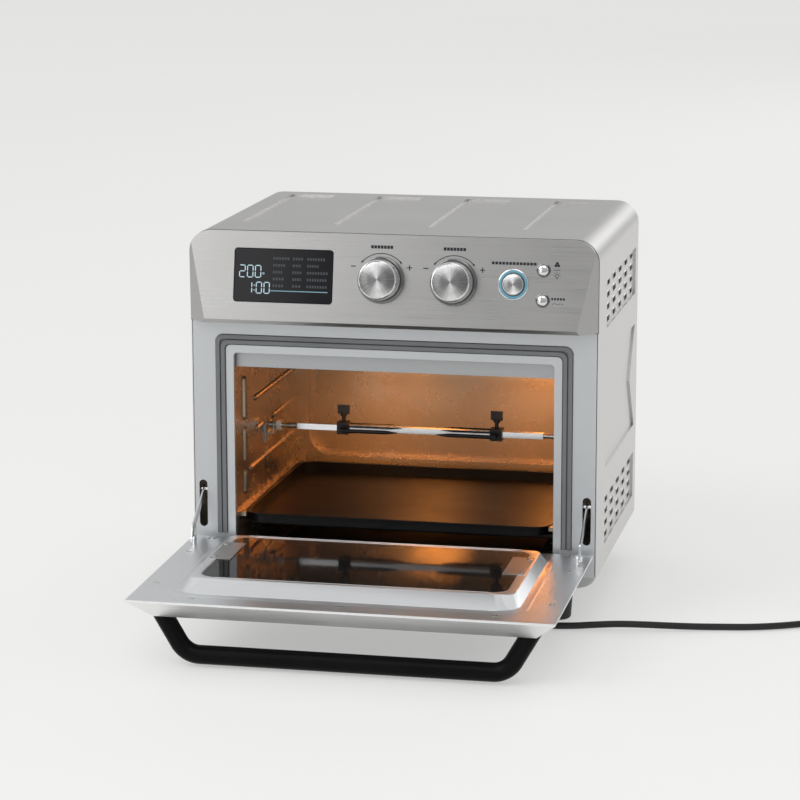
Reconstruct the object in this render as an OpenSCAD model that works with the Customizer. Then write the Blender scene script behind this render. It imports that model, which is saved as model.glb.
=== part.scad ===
// Countertop air-fryer oven with a drop-down glass door, a rotisserie, a
// baking tray and a top convection fan. Millimetres, +Z up, door to -Y.
// Origin: middle of the object's box on the surface it stands on, door open.

/* [Casing] */
// Width of the sheet casing
casing_w = 395; // [360:1:475]
// Depth of the sheet casing
casing_d = 277; // [262:1:335]
// Height of the sheet casing, without feet and pan
casing_h = 324; // [312:1:390]
// Height of the casing's lower edge above the table
stand_h = 46; // [38:1:56]
// Radius of the casing's two top edges
casing_r = 22; // [10:1:30]
// Thickness of all pressed sheet
sheet = 0.8; // [0.6:0.1:1.2]
// Depth of the pressed recesses in the casing
emboss = 2.4; // [1:0.1:3]

/* [Oven opening] */
// Width of the oven opening
opening_w = 312; // [280:1:316]
// Height of the opening's lower edge over the casing's lower edge
opening_low = 16; // [14:1:24]
// Height of the opening's upper edge over the casing's lower edge
opening_high = 205; // [190:1:206]
// Width of the plain lip round the opening
lip_w = 7.5; // [5:0.5:8]
// Width of the gasket groove
groove_w = 10.4; // [8:0.2:11]
// Depth of the gasket groove
groove_d = 4; // [3:0.5:6]
// Thickness of the front frame
frame_t = 1; // [0.8:0.1:1.5]

/* [Cavity] */
// Depth from the front frame to the cavity's back wall
cavity_d = 249; // [235:1:252]
// Height of the cavity's ceiling over the casing's lower edge
ceiling_h = 216; // [212:1:222]
// Height of the spit over the casing's lower edge
spit_h = 107; // [100:1:115]
// Distance of the spit behind the front frame
spit_y = 130; // [110:1:140]
// Height of the tray rails over the casing's lower edge
rail_h = 44; // [43:1:48]

/* [Control panel] */
// Height of the control panel
panel_h = 87.3; // [84:0.1:90]
// How far the panel's lower edge stands out
panel_out_low = 20; // [16:0.5:22]
// How far the panel's upper edge stands out
panel_out_high = 4; // [3:0.5:8]
// Width of the side facets at the lower edge
facet_w = 19; // [12:1:22]
// Wall of the control panel
panel_t = 1.6; // [1.2:0.1:2]
// Height of the row of controls above the panel's lower edge
control_s = 46; // [42:0.5:48]
// Place across of the function knob
function_x = -8; // [-14:0.5:-6]
// Place across of the temperature and time knob
temp_x = 61.7; // [56:0.1:64]
// Diameter of a knob's skirt
knob_d = 44.5; // [38:0.5:48]
// Height of a knob above the panel
knob_h = 19; // [15:0.5:22]
// Place across of the power button
power_x = 118.4; // [110:0.1:120]
// Diameter of the light ring round the power button
ring_d = 28; // [24:0.5:30]
// Diameter of the power button
power_d = 20; // [16:0.5:21]
// Place across of the two small buttons
small_x = 146.5; // [142:0.5:148]
// Distance between the two small buttons
small_pitch = 28.2; // [22:0.2:32]
// Diameter of a small button
small_d = 10; // [8:0.5:12]
// Travel of every button
button_travel = 1.2; // [0.6:0.1:1.5]
// Width of the display pane
display_w = 96.2; // [86:0.2:98]
// Height of the display pane
display_h = 50.8; // [44:0.2:54]
// Place across of the display's middle
display_x = -102.9; // [-108:0.1:-98]

/* [Door] */
// Height of the door's hinge axis over the stand
hinge_up = 13.9; // [13.4:0.1:20]
// Gap between the closed door's upper edge and the bezel
top_gap = 1.7; // [1.2:0.1:4]
// Thickness of the door
door_t = 20; // [18:0.5:22]
// Inset of the outer skin's sloped sides
bevel = 20; // [14:1:22]
// Angle below the level at which the open door rests
door_droop = 1; // [0:0.5:1]
// Gap between the closed door's inner panel and the front frame
door_gap = 2; // [1.8:0.1:2.4]
// Height of the raised window frame over the inner panel
window_rise = 9.5; // [6:0.5:10]
// Width of the clear glass
glass_w = 285; // [250:1:286]
// Length of the clear glass, from low to high
glass_l = 138; // [120:1:140]
// Thickness of both panes
glass_t = 4; // [3:0.5:4]
// Diameter of the handle tube
handle_d = 17.5; // [14:0.5:18]
// Distance between the handle's legs where they meet the skin
handle_w = 338; // [290:1:340]
// How far the middle of the handle bar stands off the skin
handle_off = 36.4; // [30:0.2:37]

/* [Trays and spit] */
// Width of the baking tray over its rim
tray_w = 304; // [296:1:305]
// Depth of the baking tray from front to back
tray_l = 234; // [200:1:235]
// Height of the baking tray
tray_h = 10.3; // [8:0.1:10.5]
// Side of the square spit
spit_a = 6; // [5:0.5:7]
// Diameter of the heater tubes
heater_d = 6.5; // [6:0.5:8]

/* [Feet and cord] */
// Diameter of a foot at the table
foot_d = 26; // [20:1:32]
// Distance of the feet from the middle plane
foot_x = 158; // [140:1:162]
// Diameter of the supply cord
cord_d = 6.4; // [6:0.1:7]

/* [Hidden] */
$fn = 48;

tiny = 0.01;                     // overlap of cutting tools past a face
gap = 0.2;                       // clearance between neighbouring fixed pieces
run_gap = 0.05;                  // radial clearance of a turning fit
side_gap = 0.6;                  // gap between the casing and what is inside it

// Casing and front
half_w = casing_w / 2;
inner_half = half_w - sheet;
casing_top = stand_h + casing_h;
open_half = opening_w / 2;
open_low_z = stand_h + opening_low;
open_high_z = stand_h + opening_high;
lip_half = open_half + lip_w;
lip_z = open_high_z + lip_w;
groove_half = lip_half + groove_w;
groove_z = lip_z + groove_w;
wall_x = open_half + 1.5;        // inner face of the cavity's side walls
ceiling_z = stand_h + ceiling_h;
floor_z = stand_h + sheet + gap;
back_y = frame_t + cavity_d;
panel_z = casing_top - panel_h;
frame_half = inner_half - side_gap;
frame_top = panel_z + 10;

// Hinge: its axis lies half-way through the door's thickness
panel_top = door_t / 2 + 0.4;    // inner panel's face over the hinge axis
hinge_y = -door_gap - panel_top;
edge_in = 2.9;                   // door edge behind the hinge axis
hinge_z = stand_h + hinge_up;
door_l = panel_z - top_gap - hinge_z + edge_in;
skin_low = panel_top - door_t;
door_half = half_w - 1.6;
tip_y = edge_in - door_l;
pin_d = 4;
ear_x = 173;
ear_t = 2.5;

// The object's box, without the cord, is centred on the origin
front_y = hinge_y + tip_y * cos(door_droop) - panel_top * sin(door_droop);
shift_y = -(front_y + casing_d) / 2;

// Window of the door, in the door's own frame
win_mid = -97;                   // middle of the glass
win_half = glass_w / 2;
rim_side = 8.2;                  // flat top of the raised frame at the sides
rim_end = 5;                     // the same above and below the glass
slope_side = 6;                  // sloped flank at the sides
slope_low = 10;                  // sloped flank towards the hinge
slope_high = 19;                 // sloped flank towards the handle
seat_w = 6;                      // glass seat inside the frame
rise_top = panel_top + window_rise;

// Link arms
slot_x = 188;
slot_w = 8;
slot_low = stand_h + 31.6;
slot_high = stand_h + 78;
arm_t = 1.5;
arm_y = -28;                     // pin, in the door's own frame
arm_z = panel_top + 5;
arm_pin_d = 4;
arm_w = 8;
arm_knee = [2.4, 11];            // bend of the arm, from its pin, door open
arm_run = 52;                    // straight stretch after the bend
arm_rise = 33;                   // its slope, door open
arm_less = 0.2;                  // how much narrower its straights are than its ends

// Control panel frame
panel_lean = atan((panel_out_low - panel_out_high) / panel_h);
board_in = 15;                   // circuit board behind the panel's face
shaft_d = 6;

// Fan and heaters
fan_y = 125;
fan_r = 60;
shield_z = open_high_z - 15;
heater_z = shield_z + 10.5;
motor_z = ceiling_z + 26;
tray_z = stand_h + rail_h + 0.1 + sheet;
tray_front = 8.5;
low_heater_z = stand_h + 21.5;
low_heater_y = [70, 185];
lamp_y = 188;
lamp_z = stand_h + 154;
lamp_r = 20;

// Rotisserie
spit_z = stand_h + spit_h;
socket_r = 8;

// Pan and crumb tray
pan_h = 14;
pan_z = stand_h - pan_h;
crumb_half = 140;
foot_y = [20, 250];

// Supply cord: straight out at the back, down in one bend, forward under the
// oven, round the front foot and off to the right, to a coil of two turns
gland_x = 120;
gland_y = casing_d;
gland_z = 70;
gland_l = 28;
gland_r = 6;
cord_r = cord_d / 2;
coil_turns = 2;
coil_r = 35.2;
coil_x = 448;
coil_y = 90;
cord_route = [
    [120, 305, 70], [120, 312, 70], [120, 322, 68], [120, 333, 60],
    [120, 340, 48], [120, 341, 34], [120, 337, 21], [120, 328, 10],
    [120, 315, 5.6], [120, 300, 3.9], [120, 240, 3.5], [119, 180, 3.4],
    [118, 120, 3.4], [117, 70, 3.4], [117, 30, 3.4], [122, 6, 3.4],
    [135, -12, 3.4], [155, -21, 3.4], [178, -20, 3.8], [200, -17, 5.2],
    [220, -14, 6.2], [242, -11, 6.2], [265, -7, 5.4], [290, -1, 4.2],
    [317, 6, 3.4], [346, 12, 3.4], [372, 22, 3.4], [396, 35, 3.4],
    [416, 46, 3.4], [432, 52, 3.4]];

// ---------------------------------------------------------------- helpers

// Everything is drawn with the front frame at y = 0, then centred
module place()
    translate([0, shift_y, 0]) children();

// The door's own frame: hinge axis on X, door towards -Y, inner side up
module in_door()
    place() translate([0, hinge_y, hinge_z]) rotate([door_droop, 0, 0]) children();

// The control panel's own frame: X across, Y out of the face, Z up the face,
// from the middle of the face's lower edge
module in_panel()
    place() translate([0, -panel_out_low, panel_z]) rotate([-panel_lean, 0, 0]) children();

// A box from its low corner to its high corner
module span(a, b)
    translate(a) cube(b - a);

// A plate in XY with round corners, from z = 0
module round_plate(w, d, r, t)
    linear_extrude(t) round_rect(w, d, r);

// A rectangle round the middle with round corners
module round_rect(w, d, r) {
    square([w - 2 * r, d], center = true);
    square([w, d - 2 * r], center = true);
    for (sx = [-1, 1], sy = [-1, 1])
        translate([sx * (w / 2 - r), sy * (d / 2 - r)]) circle(r);
}

// A slot with round ends along the first axis
module slot_shape(l, w) {
    square([l - w, w], center = true);
    for (s = [-1, 1])
        translate([s * (l - w) / 2, 0]) circle(w / 2);
}

// A shape in XZ, pushed along +Y from y = 0
module along_y(l)
    translate([0, l, 0]) rotate([90, 0, 0]) linear_extrude(l) children();

// A cylinder along +X from x = 0
module rod_x(r, l)
    rotate([0, 90, 0]) cylinder(r = r, h = l);

// A cylinder along +Y from y = 0
module rod_y(r, l)
    rotate([-90, 0, 0]) cylinder(r = r, h = l);

// A copy on both sides of the middle plane
module both_sides() {
    children();
    mirror([1, 0, 0]) children();
}

// An arch in XZ: upright sides and round top corners
module arch(half, low, high, r) {
    translate([-half, low]) square([2 * half, high - low - r]);
    translate([r - half, low]) square([2 * (half - r), high - low]);
    for (s = [-1, 1])
        translate([s * (half - r), high - r]) circle(r);
}

// ---------------------------------------------------------------- casing

pad_x = [-138.5, -46.2, 46.2, 138.5];
pad_w = 46;
field_front = 54;
field_back = casing_d - 18;
notch = 36;
field_z = [95, 200];             // plain pressed field, over the casing's edge
vent_z = [[20, 66], [232, 279]]; // the two perforated fields
vent_cols = 5;
vent_rows = 4;
vent_l = 20;
vent_w = 5;

// Pressed field of a side, with a notch in its rear end, grown by g
module plain_field(g)
    polygon([[field_front - g, field_z[0] - g], [field_back + 2 * g, field_z[0] - g],
             [field_back - notch + 2 * g, (field_z[0] + field_z[1]) / 2],
             [field_back + 2 * g, field_z[1] + g], [field_front - g, field_z[1] + g]]);

// All pressed fields of a side, grown by g
module side_fields(g) {
    plain_field(g);
    for (z = vent_z)
        translate([field_front - g, z[0] - g])
            square([field_back - field_front + 2 * g, z[1] - z[0] + 2 * g]);
}

// Round-ended holes of the perforated fields
module vent_holes()
    for (z = vent_z, c = [0 : vent_cols - 1], r = [0 : vent_rows - 1])
        translate([field_front + (c + 0.5) * (field_back - field_front) / vent_cols,
                   z[0] + (r + 0.5) * (z[1] - z[0]) / vent_rows])
            slot_shape(vent_l, vent_w);

// A YZ shape of the right side, from x = a to x = b
module on_side(a, b)
    translate([a, 0, stand_h]) rotate([90, 0, 90]) linear_extrude(b - a) children();

// A recess of the top, from z = a to z = b, grown by g
module top_pads(a, b, g)
    for (x = pad_x)
        span([x - pad_w / 2 - g, field_front - g, a], [x + pad_w / 2 + g, field_back + g, b]);

module outer_shell() {
    color("silver") place() difference() {
        union() {
            difference() {
                translate([0, gap, 0]) along_y(casing_d - gap)
                    arch(half_w, stand_h, casing_top, casing_r);
                translate([0, -1, 0]) along_y(casing_d + 2)
                    arch(inner_half, stand_h - 1, casing_top - sheet, casing_r - sheet);
            }
            top_pads(casing_top - emboss - sheet, casing_top - sheet / 2, sheet);
            both_sides() on_side(inner_half - emboss, half_w - sheet / 2) side_fields(sheet);
        }
        top_pads(casing_top - emboss, casing_top + 1, 0);
        both_sides() {
            on_side(half_w - emboss, half_w + 1) side_fields(0);
            on_side(half_w - emboss - 2 * sheet, half_w) vent_holes();
        }
    }
}

module back_cover() {
    w = 2 * frame_half;
    slots = 9;
    color("gainsboro") place() difference() {
        translate([0, casing_d - 2 * sheet, 0]) along_y(sheet)
            arch(frame_half, stand_h + gap, casing_top - sheet - side_gap, casing_r - sheet);
        for (s = [-1, 1], r = [0 : slots - 1])
            translate([s * w / 4, casing_d - 3 * sheet, stand_h + 180 + 12 * r])
                along_y(3 * sheet) slot_shape(w / 3, vent_w);
        translate([gland_x, casing_d - 3 * sheet, gland_z])
            rod_y(gland_r + run_gap, 3 * sheet);
    }
}

// Rounded tray shape: plan w by d, corners r, lower edge rounded by b
module soft_tray(w, d, r, b, h)
    hull() for (sx = [-1, 1], sy = [-1, 1])
        translate([sx * (w / 2 - r), sy * (d / 2 - r), 0]) rotate_extrude($fn = 32)
            polygon(concat([[0, 0]],
                [for (a = [0 : 15 : 90]) [r - b + b * sin(a), b - b * cos(a)]],
                [[r, h], [0, h]]));

pan_w = casing_w - 8;
pan_l = casing_d - 6;
pan_r = 20;
pan_soft = 10;
crumb_z = pan_z + 1.6;
crumb_h = 9;

module bottom_pan() {
    color("gainsboro") place() translate([0, casing_d / 2, pan_z]) difference() {
        soft_tray(pan_w, pan_l, pan_r, pan_soft, pan_h);
        translate([0, 0, sheet])
            soft_tray(pan_w - 2 * sheet, pan_l - 2 * sheet, pan_r - sheet, pan_soft - sheet, pan_h);
        span([-crumb_half - 1, -pan_l / 2 - 1, crumb_z - pan_z - 0.6],
             [crumb_half + 1, 0, crumb_z - pan_z + crumb_h + 0.8]);
    }
}

// A foot: a tapered post with a rounded rubber end
module foot(x, y) {
    r = foot_d / 2;
    round_end = 3;
    color([0.12, 0.12, 0.13]) place() translate([x, y, 0]) rotate_extrude()
        polygon(concat([[0, 0]],
            [for (a = [0 : 15 : 90])
                [r - round_end + round_end * sin(a), round_end - round_end * cos(a)]],
            [[r + 2, pan_z], [0, pan_z]]));
}

module foot_front_left() foot(-foot_x, foot_y[0]);
module foot_front_right() foot(foot_x, foot_y[0]);
module foot_rear_left() foot(-foot_x, foot_y[1]);
module foot_rear_right() foot(foot_x, foot_y[1]);

// ---------------------------------------------------------------- front

groove_low = stand_h + 26;
groove_back = groove_d + frame_t;
cavity_y = groove_back + gap;

// Outline of the groove on three sides of the opening, shrunk by g
module groove_shape(g) {
    difference() {
        translate([-groove_half + g, groove_low])
            square([2 * (groove_half - g), groove_z - groove_low - g - 6]);
        translate([-lip_half - g, groove_low - 1]) square([2 * (lip_half + g), lip_z - groove_low + 1 + g]);
    }
    difference() {
        arch(groove_half - g, lip_z - 20, groove_z - g, 8 - g);
        arch(lip_half + g, lip_z - 30, lip_z + g, 5 + g);
    }
}

module front_frame() {
    color([0.75, 0.79, 0.82]) place() difference() {
        union() {
            along_y(frame_t) translate([-frame_half, stand_h + gap])
                square([2 * frame_half, frame_top - stand_h - gap]);
            both_sides() span([frame_half - sheet, 0, stand_h + gap], [frame_half, 12, frame_top]);
            translate([0, 0.5, 0]) along_y(groove_back - 0.5) {
                groove_shape(-frame_t);
                translate([0, (open_low_z + open_high_z) / 2])
                    round_rect(opening_w + 2 * frame_t, open_high_z - open_low_z + 2 * frame_t, 5);
            }
        }
        translate([0, -1, 0]) along_y(groove_d + 1) groove_shape(0);
        translate([0, -1, 0]) along_y(groove_back + 2)
            translate([0, (open_low_z + open_high_z) / 2])
                round_rect(opening_w, open_high_z - open_low_z, 4);
        both_sides() {
            translate([slot_x, -1, (slot_low + slot_high) / 2])
                along_y(4) rotate(90) slot_shape(slot_high - slot_low, slot_w);
            span([ear_x - ear_t / 2 - 0.4, -1, hinge_z - 8], [ear_x + ear_t / 2 + 0.4, 3, hinge_z + 8]);
        }
    }
}

gasket_out = 1.5;                // height of the gasket's ridges over the frame

module gasket() {
    color([0.55, 0.56, 0.58]) place() {
        translate([0, 1, 0]) along_y(groove_d - 1) groove_shape(0.4);
        for (g = [0.6, groove_w / 2 + 0.5])
            translate([0, -gasket_out, 0]) along_y(gasket_out + 1.2)
                ridge(groove_half - g, groove_half - g - groove_w / 2 + 1.4);
    }
}

// One ridge of the gasket, between two half widths
module ridge(a, b) {
    up = groove_z - groove_half;
    difference() {
        arch(a, groove_low + 0.4, a + up, 7);
        arch(b, groove_low - 1, b + up, 5);
    }
}

// ---------------------------------------------------------------- cavity

wall_out = wall_x + sheet;
side_low = floor_z + sheet;
rib_r = 3.4;

// A pressed rib along Y, standing into the cavity from the right wall
module rib_y(y0, y1, z, r)
    intersection() {
        union() {
            translate([wall_x + r * 0.3, y0, z]) rod_y(r, y1 - y0);
            for (y = [y0, y1]) translate([wall_x + r * 0.3, y, z]) sphere(r);
        }
        span([wall_x - r, y0 - r, z - r], [wall_x + sheet / 2, y1 + r, z + r]);
    }

// A pressed upright pad near the cavity's front
module rib_z(y, z0, z1, r)
    intersection() {
        union() {
            translate([wall_x + r * 0.3, y, z0]) cylinder(r = r, h = z1 - z0);
            for (z = [z0, z1]) translate([wall_x + r * 0.3, y, z]) sphere(r);
        }
        span([wall_x - r, y - r, z0 - r], [wall_x + sheet / 2, y + r, z1 + r]);
    }

module side_wall() {
    difference() {
        span([wall_x, cavity_y, side_low + gap], [wall_out, back_y - gap, ceiling_z - gap]);
        for (y = low_heater_y)
            translate([wall_x - 1, y, low_heater_z]) rod_x(heater_d / 2 + 0.6, 4);
    }
    for (z = [[59, 76], [91, 119], [134, 170]])
        rib_z(42, stand_h + z[0], stand_h + z[1], rib_r + 1);
    rib_y(86, spit_y - 22, spit_z + 5, rib_r);
    rib_y(spit_y + 22, back_y - 14, spit_z + 5, rib_r);
    rib_y(62, back_y - 14, stand_h + 77, rib_r);
    rib_y(84, back_y - 20, stand_h + 144, rib_r);
    span([wall_x - 8, 14, stand_h + rail_h - 4], [wall_x + sheet / 2, back_y - 6, stand_h + rail_h]);
}

module cavity_left()
    color([0.78, 0.76, 0.72]) place() mirror([1, 0, 0]) side_wall();

module cavity_right() {
    color([0.78, 0.76, 0.72]) place() difference() {
        side_wall();
        translate([wall_x - 9, spit_y, spit_z]) rod_x(socket_r + 0.8, 12);
        translate([wall_x - 9, lamp_y, lamp_z]) rod_x(lamp_r + 0.4, 12);
    }
}

module cavity_top() {
    color([0.78, 0.76, 0.72]) place() difference() {
        span([-wall_out, cavity_y, ceiling_z], [wall_out, back_y - gap, ceiling_z + sheet]);
        translate([0, fan_y, ceiling_z - 1]) cylinder(r = shaft_d / 2 + 1, h = 3);
    }
}

back_in_x = wall_x - 12;
back_in_low = rail_h + 5;
back_in_deep = 12;

module cavity_back() {
    h = ceiling_z - side_low - 2 * gap;
    in_h = shield_z - stand_h - back_in_low + 4;
    mid = side_low + gap + h / 2;
    in_mid = stand_h + back_in_low + in_h / 2;
    color([0.78, 0.76, 0.72]) place() difference() {
        union() {
            translate([0, back_y, mid]) along_y(sheet)
                square([2 * wall_out, h], center = true);
            translate([0, back_y, in_mid]) along_y(back_in_deep)
                round_rect(2 * back_in_x, in_h, 26);
        }
        translate([0, back_y - 1, in_mid]) along_y(back_in_deep + 1 - sheet)
            round_rect(2 * (back_in_x - sheet), in_h - 2 * sheet, 26 - sheet);
        for (s = [-1, 1])
            translate([s * tail_x, back_y - 1, heater_z]) rod_y(heater_d / 2 + 0.6, 4);
    }
}

module cavity_floor() {
    color([0.7, 0.71, 0.73]) place() difference() {
        span([-wall_out, cavity_y, floor_z], [wall_out, back_y + sheet, floor_z + sheet]);
        translate([0, back_y / 2, floor_z - 1])
            round_plate(2 * crumb_half - 20, back_y - 40, 12, 4);
    }
}

// ------------------------------------------------------- heat and moving air

vent_ring = 8;

module heat_shield() {
    y0 = frame_t + 7;
    y1 = back_y - 2;
    color([0.72, 0.76, 0.79]) place() difference() {
        union() {
            span([-wall_x + 0.5, y0, shield_z], [wall_x - 0.5, y1, shield_z + sheet]);
            span([-wall_x + 0.5, y0, shield_z], [wall_x - 0.5, y0 + sheet, ceiling_z - gap]);
        }
        for (n = [0 : vent_ring - 1])
            rotate_about([0, fan_y], 360 * n / vent_ring)
                translate([fan_r + 18, 0, shield_z - 1])
                    linear_extrude(4) rotate(90) slot_shape(44, 9);
        translate([0, fan_y, shield_z - 1]) cylinder(r = fan_r - 8, h = 4);
        both_sides() for (k = [0 : 4])
            translate([118 + 8 * k, fan_y, shield_z - 1])
                linear_extrude(4) rotate(90) slot_shape(180, 4);
    }
}

// Turns about an upright line through p
module rotate_about(p, a)
    translate([p[0], p[1], 0]) rotate(a) children();

tail_x = 20;
ring_r = 88;

module upper_heater() {
    r = heater_d / 2;
    open = asin(tail_x / ring_r);
    color([0.35, 0.34, 0.33]) place() {
        translate([0, fan_y, heater_z])
            rotate(90 + open) rotate_extrude(angle = 360 - 2 * open)
                translate([ring_r, 0]) circle(r);
        for (s = [-1, 1])
            translate([s * tail_x, fan_y + ring_r * cos(open), heater_z])
                rod_y(r, back_y + 14 - fan_y - ring_r * cos(open));
    }
}

module lower_heaters() {
    l = 2 * (wall_out + 10);
    color([0.35, 0.34, 0.33]) place() for (y = low_heater_y)
        translate([-l / 2, y, low_heater_z]) {
            rod_x(heater_d / 2, l);
            translate([-8, 0, 0]) rod_x(1.5, l + 16);
        }
}

guard_r = fan_r - 8.5;

module fan_guard() {
    rings = 6;
    color("gainsboro") place() translate([0, fan_y, shield_z]) {
        for (k = [1 : rings])
            linear_extrude(1.6) difference() {
                circle(guard_r * k / rings);
                circle(guard_r * k / rings - 1.6);
            }
        for (a = [0 : 45 : 135])
            linear_extrude(1.6) rotate(a) square([2 * guard_r - 1, 2], center = true);
    }
}

blade_z = shield_z + 8;
blade_h = ceiling_z - blade_z - 5;
blades = 8;

module convection_fan() {
    color([0.75, 0.75, 0.76]) place() translate([0, fan_y, blade_z]) difference() {
        union() {
            translate([0, 0, blade_h - 1]) cylinder(r = fan_r, h = 1);
            cylinder(r = 9, h = blade_h);
            for (n = [0 : blades - 1])
                rotate(360 * n / blades) translate([14, 0, 0]) rotate(20)
                    translate([0, -0.5, 0]) cube([fan_r - 20, 1, blade_h - 0.5]);
        }
        translate([0, 0, -1]) cylinder(r = shaft_d / 2, h = blade_h + 2);
    }
}

module fan_shaft() {
    color("silver") place() translate([0, fan_y, blade_z - 1])
        cylinder(r = shaft_d / 2, h = motor_z + 44 - blade_z);
}

module cooling_fan() {
    r = 32;
    h = 12;
    color([0.75, 0.75, 0.76]) place() translate([0, fan_y, ceiling_z + 6]) difference() {
        union() {
            cylinder(r = r, h = 1);
            cylinder(r = 8, h = h);
            for (n = [0 : blades - 1])
                rotate(360 * n / blades) translate([10, -0.5, 0]) cube([r - 10, 1, h]);
        }
        translate([0, 0, -1]) cylinder(r = shaft_d / 2, h = h + 2);
    }
}

module fan_motor() {
    a = 60;
    leg = 36;
    color([0.5, 0.5, 0.52]) place() translate([0, fan_y, motor_z]) difference() {
        union() {
            translate([-a / 2, -a / 2, 0]) cube([a, a, 24]);
            cylinder(r = 14, h = 36);
            translate([-leg - 4, -leg - 4, 0]) cube([2 * leg + 8, 2 * leg + 8, 3]);
            for (sx = [-1, 1], sy = [-1, 1])
                translate([sx * leg, sy * leg, ceiling_z + sheet - motor_z])
                    cylinder(r = 3, h = motor_z - ceiling_z - sheet + 1);
        }
        translate([0, 0, -1]) cylinder(r = shaft_d / 2 + run_gap, h = 40);
    }
}

module lamp_cover() {
    color([1, 0.9, 0.7, 0.5]) place() translate([wall_x + sheet, lamp_y, lamp_z])
        rotate([0, -90, 0]) rotate_extrude() polygon(concat([[0, 0], [lamp_r, 0]],
            [for (a = [0 : 10 : 90]) [lamp_r * cos(a), sheet + 0.4 + 7 * sin(a)]]));
}

module lamp_bulb() {
    color([1, 0.85, 0.5]) place() translate([wall_out + gap, lamp_y, lamp_z]) {
        rod_x(7, 12);
        translate([12, 0, 0]) rod_x(12, 10);
    }
}

// ---------------------------------------------------------------- rotisserie

spit_left = -142;
spit_right = wall_x + 1;
socket_front = wall_x - 7;
socket_deep = 8;
motor_x = wall_out + 1.6;
motor_t = 20;

module rotisserie_motor() {
    color([0.3, 0.3, 0.32]) place() translate([motor_x, spit_y, spit_z]) difference() {
        translate([0, -26, -26]) cube([motor_t, 52, 52]);
        translate([-1, 0, 0]) rod_x(4 + run_gap, 14);
    }
}

module drive_socket() {
    color([0.7, 0.7, 0.68]) place() translate([socket_front, spit_y, spit_z]) difference() {
        union() {
            rod_x(socket_r, motor_x - 0.4 - socket_front);
            rod_x(4, motor_x + 11 - socket_front);
        }
        translate([-1, -spit_a / 2 - gap, -spit_a / 2 - gap])
            cube([socket_deep + 1, spit_a + 2 * gap, spit_a + 2 * gap]);
    }
}

module spit_cradle() {
    r = spit_a / 2 + 0.3;
    x0 = -wall_x;
    color([0.7, 0.7, 0.68]) place() difference() {
        union() {
            span([x0, spit_y - 12, spit_z - 16], [x0 + 1.5, spit_y + 12, spit_z + 3]);
            span([x0, spit_y - 7, spit_z - 8], [x0 + 9, spit_y + 7, spit_z - 6.5]);
            span([x0 + 7.5, spit_y - 7, spit_z - 8], [x0 + 9, spit_y + 7, spit_z + 3]);
        }
        translate([x0 + 5, spit_y, spit_z]) rod_x(r, 6);
        span([x0 + 5, spit_y - r, spit_z], [x0 + 11, spit_y + r, spit_z + 4]);
    }
}

module spit() {
    a = spit_a / 2;
    neck = spit_a * 0.36;
    bar = [-126, 125];
    color([0.82, 0.82, 0.82]) place() translate([0, spit_y, spit_z]) {
        span([bar[0], -a, -a], [bar[1], a, a]);
        translate([spit_left, 0, 0]) rod_x(neck, bar[0] - spit_left);
        translate([-136, 0, 0]) rod_x(a - 0.2, 6);
        translate([bar[1], 0, 0]) rod_x(neck, socket_front - 2 - bar[1]);
        span([socket_front - 2, -a, -a], [socket_front + socket_deep - 1, a, a]);
        span([spit_left - 5, -5, -4.5], [spit_left, 5, 4.5]);
        translate([-wall_x + 2.5, 0, 0]) rod_x(a, spit_left - 5 + wall_x - 2.5);
    }
}

fork_x = 78;
fork_hub = 12;

// A fork with two prongs, sliding on the spit; prongs point to -X
module fork_body() {
    hub = fork_hub / 2;
    prong = 15;
    bore = spit_a + 2 * gap;
    color([0.25, 0.25, 0.26]) difference() {
        union() {
            translate([-hub, -hub, -hub]) cube([fork_hub, fork_hub, fork_hub]);
            translate([-1.5, -prong - 2, -2]) cube([3, 2 * prong + 4, 4]);
            for (s = [-1, 1]) translate([0, s * prong, 0]) rotate([0, -90, 0]) {
                cylinder(r = 2, h = 46);
                translate([0, 0, 46]) cylinder(r1 = 2, r2 = 0.5, h = 12);
            }
        }
        translate([-hub - 1, -bore / 2, -bore / 2]) cube([fork_hub + 2, bore, bore]);
        cylinder(r = 2.05, h = hub + 1);
    }
}

// The thumb screw that clamps a fork
module fork_screw_body() {
    low = spit_a / 2 + gap;
    color([0.2, 0.2, 0.21]) {
        translate([0, 0, low]) cylinder(r = 2, h = 12);
        translate([0, 0, low + 9]) cylinder(r = 3.5, h = 3);
        translate([-6, -1.2, low + 11]) cube([12, 2.4, 9]);
    }
}

module at_fork(s)
    place() translate([s * fork_x, spit_y, spit_z]) mirror([s < 0 ? 1 : 0, 0, 0]) children();

module fork_left() at_fork(-1) fork_body();
module fork_right() at_fork(1) fork_body();
module fork_screw_left() at_fork(-1) fork_screw_body();
module fork_screw_right() at_fork(1) fork_screw_body();

// ---------------------------------------------------------------- trays

tray_rim = 4;

module baking_tray() {
    w = tray_w - 2 * tray_rim;
    l = tray_l - 2 * tray_rim;
    low = tray_z - tray_h;
    color([0.08, 0.08, 0.09]) place() translate([0, tray_front + tray_l / 2, low]) {
        difference() {
            round_plate(w, l, 16, tray_h);
            translate([0, 0, sheet]) round_plate(w - 2 * sheet, l - 2 * sheet, 16 - sheet, tray_h);
        }
        translate([0, 0, tray_h - sheet]) difference() {
            round_plate(tray_w, tray_l, 18, sheet);
            translate([0, 0, -1]) round_plate(w - tiny, l - tiny, 16, sheet + 2);
        }
    }
}

module crumb_tray() {
    w = 2 * crumb_half - 1;
    l = back_y - 22;
    color([0.6, 0.61, 0.62]) place() {
        translate([-w / 2, 4, crumb_z]) difference() {
            cube([w, l, crumb_h]);
            translate([sheet, sheet, sheet]) cube([w - 2 * sheet, l - 2 * sheet, crumb_h]);
        }
        span([-w / 2 - 4, 1.6, crumb_z - 0.4], [w / 2 + 4, 2.6, crumb_z + crumb_h + 0.6]);
        span([-30, -6, crumb_z - 0.4], [30, 1.6, crumb_z + 0.6]);
        span([-w / 2, 2.6, crumb_z], [w / 2, 4, crumb_z + 4]);
    }
}

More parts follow.
